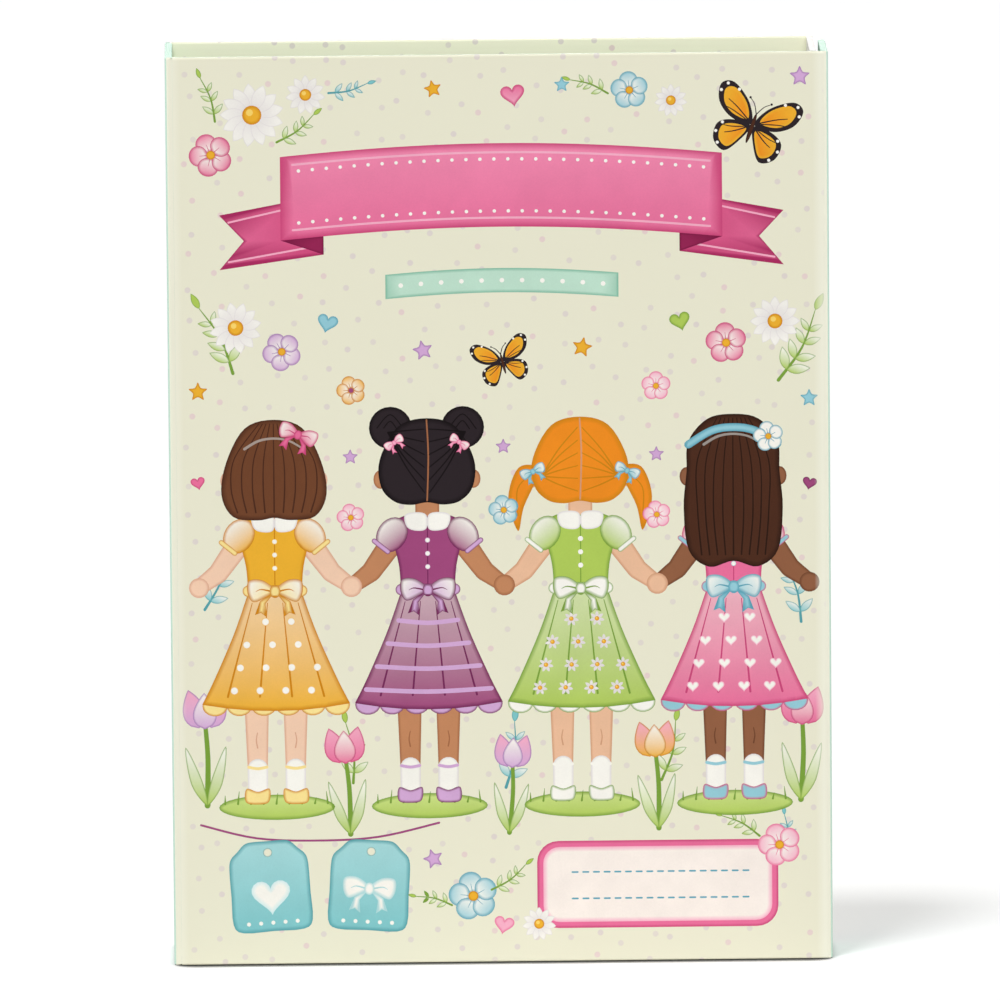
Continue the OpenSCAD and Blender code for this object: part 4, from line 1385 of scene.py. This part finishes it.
# Cut lines round the garments of a sheet, as shares of the doll's height
DRESS_CUT = [(-0.05, 0.545), (-0.067, 0.585), (-0.07, 0.64), (-0.066, 0.69), (-0.032, 0.69),
             (-0.028, 0.63), (0, 0.62), (0.028, 0.63), (0.032, 0.69), (0.066, 0.69), (0.07, 0.64),
             (0.067, 0.585), (0.057, 0.53), (0.152, 0.3), (0.12, 0.268), (-0.12, 0.268), (-0.152, 0.3)]
COAT_CUT = [(-0.032, 0.69), (-0.028, 0.645), (0, 0.635), (0.028, 0.645), (0.032, 0.69), (0.066, 0.69),
            (0.1, 0.65), (0.138, 0.54), (0.172, 0.45), (0.14, 0.42), (0.112, 0.45), (0.08, 0.53),
            (0.106, 0.35), (-0.106, 0.35), (-0.08, 0.53), (-0.112, 0.45), (-0.14, 0.42), (-0.172, 0.45),
            (-0.138, 0.54), (-0.1, 0.65), (-0.066, 0.69)]


# Geometry Nodes: dashes along outlines, as the perforations of press-out sheets

def perforation_tree(mat):
    tree = bpy.data.node_groups.new("perforations", "GeometryNodeTree")
    face = tree.interface
    face.new_socket("Outlines", in_out="INPUT", socket_type="NodeSocketGeometry")
    ids = {}
    for label, value in (("Pitch", 2.4 * MM), ("Dash", 1.5 * MM), ("Width", 0.28 * MM),
                         ("Depth", 0.04 * MM)):
        s = face.new_socket(label, in_out="INPUT", socket_type="NodeSocketFloat")
        s.default_value = value
        ids[label] = s.identifier
    face.new_socket("Dashes", in_out="OUTPUT", socket_type="NodeSocketGeometry")
    new = tree.nodes.new
    link = tree.links.new
    start, end = new("NodeGroupInput"), new("NodeGroupOutput")
    to_curve = new("GeometryNodeMeshToCurve")
    spread = new("GeometryNodeResampleCurve")
    spread.mode = "LENGTH"
    cube = new("GeometryNodeMeshCube")
    size = new("ShaderNodeCombineXYZ")
    tangent = new("GeometryNodeInputTangent")
    align = new("FunctionNodeAlignEulerToVector")
    align.axis = "X"
    align.pivot_axis = "Y"
    copies = new("GeometryNodeInstanceOnPoints")
    real = new("GeometryNodeRealizeInstances")
    paint = new("GeometryNodeSetMaterial")
    paint.inputs["Material"].default_value = mat
    link(start.outputs["Outlines"], to_curve.inputs[0])
    link(to_curve.outputs[0], spread.inputs["Curve"])
    link(start.outputs["Pitch"], spread.inputs["Length"])
    link(start.outputs["Dash"], size.inputs[0])
    link(start.outputs["Depth"], size.inputs[1])
    link(start.outputs["Width"], size.inputs[2])
    link(size.outputs[0], cube.inputs["Size"])
    link(spread.outputs[0], copies.inputs["Points"])
    link(cube.outputs["Mesh"], copies.inputs["Instance"])
    link(tangent.outputs[0], align.inputs["Vector"])
    link(align.outputs[0], copies.inputs["Rotation"])
    link(copies.outputs[0], real.inputs[0])
    link(real.outputs[0], paint.inputs["Geometry"])
    link(paint.outputs[0], end.inputs[0])
    return tree, ids


def perforate(name, loops, place, body, pitch):
    """Dashes along closed outlines, made by the tree and kept as a plain mesh."""
    verts, edges = [], []
    for loop in loops:
        base = len(verts)
        verts += [place(x, z, 0.0) for x, z in loop]
        edges += [(base + i, base + (i + 1) % len(loop)) for i in range(len(loop))]
    me = bpy.data.meshes.new(name + "_outline")
    me.from_pydata(verts, edges, [])
    guide = bpy.data.objects.new(name + "_outline", me)
    bpy.context.scene.collection.objects.link(guide)
    mat = finish("perforation")
    tree, ids = perforation_tree(mat)
    mod = guide.modifiers.new("perforations", "NODES")
    mod.node_group = tree
    mod[ids["Pitch"]] = pitch
    graph = bpy.context.evaluated_depsgraph_get()
    done = bpy.data.meshes.new_from_object(guide.evaluated_get(graph))
    guide.modifiers.remove(mod)
    bpy.data.objects.remove(guide)
    if not len(done.polygons):
        raise RuntimeError(name + ": the perforations came out empty")
    done.name = name
    done.materials.clear()
    done.materials.append(mat)
    obj = bpy.data.objects.new(name, done)
    bpy.context.scene.collection.objects.link(obj)
    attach(obj, body)
    return obj


# Settings

def colour(name, default, description):
    return bpy.props.FloatVectorProperty(name=name, description=description, subtype="COLOR",
                                         default=default)


def length(name, default, description):
    return bpy.props.FloatProperty(name=name, description=description, unit="LENGTH", default=default)


def angle(name, degrees, description):
    return bpy.props.FloatProperty(name=name, description=description, subtype="ANGLE",
                                   default=math.radians(degrees))


def number(name, default, description):
    return bpy.props.FloatProperty(name=name, description=description, default=default)


class KitFinish(bpy.types.PropertyGroup):
    cream: colour("Cream", CREAM, "Ground of the printed papers")
    mint: colour("Mint", MINT, "Spine, flap and lining paper")
    dot: colour("Dot", LILAC_DOT, "Printed dots on the cream paper")
    dot_rose: colour("Rose dot", ink(230, 204, 206), "Every few dots are rosier")
    dot_stray: number("Dot stray", 0.55, "How far dots stray in their cells")
    dot_across: length("Dot columns", 8.7 * MM, "Distance between columns of dots")
    dot_up: length("Dot rows", 10.4 * MM, "Distance between dots in a column")
    dot_size: length("Dot size", 1.9 * MM, "Diameter of a dot")
    edge_round: length("Edge rounding", 0.6 * MM, "Radius of the paper over a board's edge")
    border: length("White border", 1.1 * MM, "Unprinted border inside a cut card outline")
    perforation: length("Perforation pitch", 2.4 * MM, "Distance between cuts on the press-out sheets")


class KitStage(bpy.types.PropertyGroup):
    distance: length("Camera distance", 6.0, "From the camera to the middle of the case")
    yaw: angle("Yaw", 0.8, "Turn of the view to the right")
    pitch: angle("Pitch", 9.0, "Tilt of the view down")
    roll: angle("Roll", -0.474, "Turn of the camera about its view")
    zoom: number("Zoom", 18.304, "Focal length over sensor width")
    key: number("Key strength", 1.1, "Strength of the soft key light")
    fill: number("Fill strength", 1.36, "Strength of the fill lights round the case")
    sky: number("Room strength", 0.3, "Strength of the even room light")


# Operators

class KITCASE_OT_stage(bpy.types.Operator):
    """Floor, soft light and the camera of the photograph's view"""
    bl_idname = "kitcase.stage"
    bl_label = "Stage"

    def execute(self, context):
        st = context.scene.kit_stage
        view = context.scene.view_settings
        view.view_transform = "Standard"
        world = bpy.data.worlds.new("room")
        context.scene.world = world
        world.use_nodes = True
        t = world.node_tree
        t.nodes.clear()
        out = t.nodes.new("ShaderNodeOutputWorld")
        fill, white = t.nodes.new("ShaderNodeBackground"), t.nodes.new("ShaderNodeBackground")
        fill.inputs[1].default_value = st.sky
        white.inputs[1].default_value = 1.0
        rays = t.nodes.new("ShaderNodeLightPath")
        most = t.nodes.new("ShaderNodeMath")
        most.operation = "MULTIPLY_ADD"
        most.inputs[1].default_value = GLOSSY_SHARE
        mix = t.nodes.new("ShaderNodeMixShader")
        t.links.new(rays.outputs["Is Glossy Ray"], most.inputs[0])
        t.links.new(rays.outputs["Is Camera Ray"], most.inputs[2])
        t.links.new(most.outputs[0], mix.inputs[0])
        t.links.new(fill.outputs[0], mix.inputs[1])
        t.links.new(white.outputs[0], mix.inputs[2])
        t.links.new(mix.outputs[0], out.inputs[0])
        # floor: lit pale grey, with the rest of the white for the camera alone, so the shadow stays;
        # along the foot of the case a painted contact shadow, a near-black diffuse, takes over where
        # ambient occlusion finds the case ahead
        me = bpy.data.meshes.new("floor")
        me.from_pydata(FLOOR_CORNERS, [], [(0, 1, 2, 3)])
        floor = bpy.data.objects.new("floor", me)
        context.scene.collection.objects.link(floor)
        f = Finish("floor_white", 0.9)
        f.bsdf.inputs["Base Color"].default_value = FLOOR_TONE
        f.bsdf.inputs["Specular IOR Level"].default_value = 0.0
        ahead = f.node("ShaderNodeCombineXYZ", {}, CONTACT_WAY)
        near = f.node("ShaderNodeAmbientOcclusion", {"samples": 24},
                      {"Distance": CONTACT_REACH, "Normal": ahead}, "AO")
        painted_contact_shadow = 1.0 - ((near - CONTACT_FROM) * CONTACT_GAIN).clamp()
        camera = f.node("ShaderNodeLightPath", {}, [], "Is Camera Ray")
        glossy = Val(f, camera.socket.node.outputs["Is Glossy Ray"])
        glow = f.node("ShaderNodeEmission", {}, {"Color": (1, 1, 1, 1), "Strength": FLOOR_GLOW})
        dark = f.node("ShaderNodeBsdfDiffuse", {}, {"Color": CONTACT_SHADOW_TONE})
        lit = Val(f, f.bsdf.outputs[0])
        both = f.node("ShaderNodeAddShader", {}, {0: lit, 1: glow})
        seen = f.node("ShaderNodeMixShader", {}, {0: camera.math("MAXIMUM", glossy), 1: lit, 2: both})
        seen = f.node("ShaderNodeMixShader", {}, {0: camera * painted_contact_shadow, 1: seen, 2: dark})
        f.tree.links.new(seen.socket, f.tree.nodes["Material Output"].inputs["Surface"])
        me.materials.append(f.mat)
        # a soft key from above casts the shadow; the four fills light the case alone
        unfilled = bpy.data.collections.new("unfilled")
        unfilled.objects.link(floor)
        unfilled.collection_objects[0].light_linking.link_state = "EXCLUDE"
        for name, way, strength in (
                ("key", (0.17, 0.25, -0.95), st.key),
                ("front_fill", (-0.05, 0.87, -0.5), st.fill),
                ("back_fill", (0.05, -0.97, -0.1), st.fill * 1.2),
                ("left_fill", (0.98, 0.03, -0.1), st.fill * 0.87),
                ("right_fill", (-0.98, 0.03, -0.1), st.fill * 0.87)):
            sun = bpy.data.lights.new(name, "SUN")
            sun.energy = strength
            sun.angle = KEY_ANGLE if name == "key" else FILL_ANGLE
            obj = bpy.data.objects.new(name, sun)
            obj.rotation_euler = Vector(way).to_track_quat("-Z", "Y").to_euler()
            context.scene.collection.objects.link(obj)
            if name != "key":
                obj.light_linking.receiver_collection = unfilled
        panel = bpy.data.lights.new("panel", "AREA")
        panel.size = LAMP_SIZE
        panel.energy = LAMP_POWER
        lamp = bpy.data.objects.new("panel", panel)
        lamp.location = LAMP_PLACE
        lamp.rotation_euler = (Vector(LAMP_AIM) - lamp.location).to_track_quat("-Z", "Y").to_euler()
        context.scene.collection.objects.link(lamp)
        # camera
        cam = bpy.data.cameras.new("camera")
        cam.sensor_fit = "HORIZONTAL"
        cam.sensor_width = SENSOR
        cam.lens = st.zoom * SENSOR
        cam.clip_end = 100.0
        d = Vector((math.sin(st.yaw) * math.cos(st.pitch), math.cos(st.yaw) * math.cos(st.pitch),
                    -math.sin(st.pitch)))
        right = Vector((math.cos(st.yaw), -math.sin(st.yaw), 0.0))
        up = right.cross(d)
        r2 = right * math.cos(st.roll) + up * math.sin(st.roll)
        u2 = up * math.cos(st.roll) - right * math.sin(st.roll)
        obj = bpy.data.objects.new("camera", cam)
        context.scene.collection.objects.link(obj)
        place = Matrix((r2, u2, -d)).transposed().to_4x4()
        place.translation = Vector(VIEW_TARGET) - d * st.distance
        obj.matrix_world = place
        context.scene.camera = obj
        return {"FINISHED"}


class KITCASE_OT_cover(bpy.types.Operator):
    """Printed paper of the front cover"""
    bl_idname = "kitcase.cover"
    bl_label = "Cover print"

    def execute(self, context):
        cover = build_panel("cover", cover_art(), finish("cover_print"),
                            tuple(context.scene.kit_finish.cream), True, True)
        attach(cover, "cover")
        return {"FINISHED"}


class KITCASE_OT_back(bpy.types.Operator):
    """Printed paper of the back"""
    bl_idname = "kitcase.back"
    bl_label = "Back print"

    def execute(self, context):
        back = build_panel("back", back_art(), finish("back_print"),
                           tuple(context.scene.kit_finish.cream), False, True)
        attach(back, "case")
        return {"FINISHED"}


class KITCASE_OT_side_papers(bpy.types.Operator):
    """Mint paper of the spine and the closing flap"""
    bl_idname = "kitcase.side_papers"
    bl_label = "Spine and flap papers"

    def execute(self, context):
        mint = tuple(context.scene.kit_finish.mint)
        for name, body, end in (("spine", "case", True), ("flap", "flap", False)):
            obj = build_panel(name, Art(), finish("mint_plain"), mint, True, end)
            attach(obj, body)
        return {"FINISHED"}


class KITCASE_OT_linings(bpy.types.Operator):
    """Folds, linings, tray walls, boards and magnets: finishes on the solids"""
    bl_idname = "kitcase.linings"
    bl_label = "Linings and tray"

    def execute(self, context):
        for node, panel, body, name in (("cover_fold", "cover", "case", "cover_fold"),
                                        ("flap_fold", "flap", "cover", "flap_fold"),
                                        ("back_fold", "spine", "case", "mint_plain")):
            build_fold(node, panel, body, finish(name))
        for node, name in (
                ("back_lining", "cream_dotted"), ("spine_lining", "mint_plain"),
                ("cover_lining", "mint_dotted"), ("flap_lining", "mint_plain"),
                ("fore_wall_wrap", "cream_dotted_side"),
                ("bottom_wall_wrap", "cream_dotted_floor"), ("flap_magnets", "nickel"),
                ("keeper_discs", "steel")):
            dress_node(node, name)
        for node in NODES:
            if node.endswith("_board"):
                dress_node(node, "grey_board")
        return {"FINISHED"}


class KITCASE_OT_figures(bpy.types.Operator):
    """Card figures, their stands and the outfits that they wear"""
    bl_idname = "kitcase.figures"
    bl_label = "Figures and outfits"

    def execute(self, context):
        inset = context.scene.kit_finish.border / MM
        looks = {
            "doll_a": (SKINS[0], SKIN_EDGES[0], *BROWNS, WHITE, LILAC_DEEP, PINK, "bob"),
            "doll_b": (SKINS[3], SKIN_EDGES[3], BLACK, ink(18, 12, 14), ink(252, 240, 214), GOLD_DEEP,
                       AQUA, "buns"),
        }
        for node, look in looks.items():
            for part in (node, node + "_stand"):
                dress_node(part, "white_card")
            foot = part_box(node)[0]
            cx = (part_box(node + "_tab_left")[0].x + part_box(node + "_tab_right")[1].x) / 2
            box = [(-60, -2), (60, -2), (60, 215), (-60, 215)]
            obj = flat_print(node + "_print", figure_art(DOLL_TALL, inset, *look), box,
                             on_card(cx, foot.y, foot.z), node, finish("card_print"))
            wear = node + ("_dress" if node == "doll_a" else "_coat")
            for part in (wear, node + "_tab_left", node + "_tab_right"):
                dress_node(part, "white_card")
            art = Art()
            if node == "doll_a":
                garment_dress(art, DOLL_TALL, CARD_BORDER, *PINKS, ink(252, 214, 228))
            else:
                garment_coat(art, DOLL_TALL, CARD_BORDER, *AQUAS, ink(246, 240, 226))
            obj = flat_print(wear + "_print", art, box, on_card(cx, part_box(wear)[0].y, foot.z), node,
                             finish("card_print"))
            "dress_card" if node == "doll_a" else "coat_card"
        return {"FINISHED"}


class KITCASE_OT_sheets(bpy.types.Operator):
    """Press-out outfit sheets with printed garments and perforated outlines"""
    bl_idname = "kitcase.sheets"
    bl_label = "Outfit sheets"

    def execute(self, context):
        pitch = context.scene.kit_finish.perforation
        tones = [(*PINKS, ink(252, 214, 228)), (*AQUAS, WHITE), (*LIMES, ink(250, 244, 214)),
                 (*GOLDS, WHITE), (*LILACS, WHITE), (*PLUMS, LILAC), (*TEALS, WHITE)]
        for k in range(1, 5):
            node = f"outfit_sheet_{k}"
            dress_node(node, "white_card")
            lo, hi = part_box(node)
            wide, tall = (hi.x - lo.x) / MM, (hi.z - lo.z) / MM
            art = Art()
            loops = []
            pick = iter([tones[(k * 2 + i) % len(tones)] for i in range(12)])
            for i, (x, z) in enumerate(((52, 182), (148, 182), (52, 76), (148, 76))):
                at = (x, z - 0.49 * DOLL_TALL)
                if (i + k) % 2:
                    garment_dress(art, DOLL_TALL, CARD_BORDER, *next(pick), at)
                    cut = DRESS_CUT
                else:
                    garment_coat(art, DOLL_TALL, CARD_BORDER, *next(pick), at)
                    cut = COAT_CUT
                loops.append(curve(put(cut, *at, size=DOLL_TALL), True, 3))
            garment_hat(art, 34, 254, *next(pick))
            loops.append(ring(34, 259, 22, 12.5, 0, 40))
            garment_shoes(art, 100, 252, *next(pick)[:2])
            loops.append(ring(100, 255.5, 20, 9.5, 0, 40))
            garment_bag(art, 166, 254, *next(pick))
            loops.append(ring(166, 256.5, 13.5, 14.5, 0, 40))
            for x, z, which in ((100, 212, 0), (100, 140, 1), (100, 24, 2), (12, 130, 3), (188, 130, 4)):
                if which == 0:
                    heart(art, x, z, 9, *PINKS)
                elif which == 1:
                    blossom(art, x, z, 7, *AQUAS)
                else:
                    star(art, x, z, 4.4, *(GOLDS if which == 2 else LILACS))
            outer = round_box(CARD_BORDER, CARD_BORDER, wide - CARD_BORDER, tall - CARD_BORDER,
                              SHEET_ROUND)
            obj = flat_print(node + "_print", art, outer, on_card(*lo), node, finish("card_print"), True,
                             ink(248, 246, 238))
            obj = perforate(node + "_cuts", loops, on_card(*lo, CUT_LIFT), node, pitch)
        return {"FINISHED"}


class KITCASE_PT_panel(bpy.types.Panel):
    bl_label = "Kit case"
    bl_idname = "KITCASE_PT_panel"
    bl_space_type = "VIEW_3D"
    bl_region_type = "UI"
    bl_category = "Kit Case"

    def draw(self, context):
        for op in OPERATORS:
            self.layout.operator(op.bl_idname)
        for group in (context.scene.kit_finish, context.scene.kit_stage):
            for key in group.__annotations__:
                self.layout.prop(group, key)


OPERATORS = (KITCASE_OT_stage, KITCASE_OT_cover, KITCASE_OT_back, KITCASE_OT_side_papers,
             KITCASE_OT_linings, KITCASE_OT_figures, KITCASE_OT_sheets)
CLASSES = (KitFinish, KitStage, *OPERATORS, KITCASE_PT_panel)


def register():
    for c in CLASSES:
        bpy.utils.register_class(c)
    bpy.types.Scene.kit_finish = bpy.props.PointerProperty(type=KitFinish)
    bpy.types.Scene.kit_stage = bpy.props.PointerProperty(type=KitStage)


def unregister():
    del bpy.types.Scene.kit_stage
    del bpy.types.Scene.kit_finish
    for c in reversed(CLASSES):
        bpy.utils.unregister_class(c)


def main():
    register()
    bpy.ops.kitcase.stage()
    bpy.ops.kitcase.cover()
    bpy.ops.kitcase.back()
    bpy.ops.kitcase.side_papers()
    bpy.ops.kitcase.linings()
    bpy.ops.kitcase.figures()
    bpy.ops.kitcase.sheets()
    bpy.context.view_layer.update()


if __name__ == "__main__":
    main()
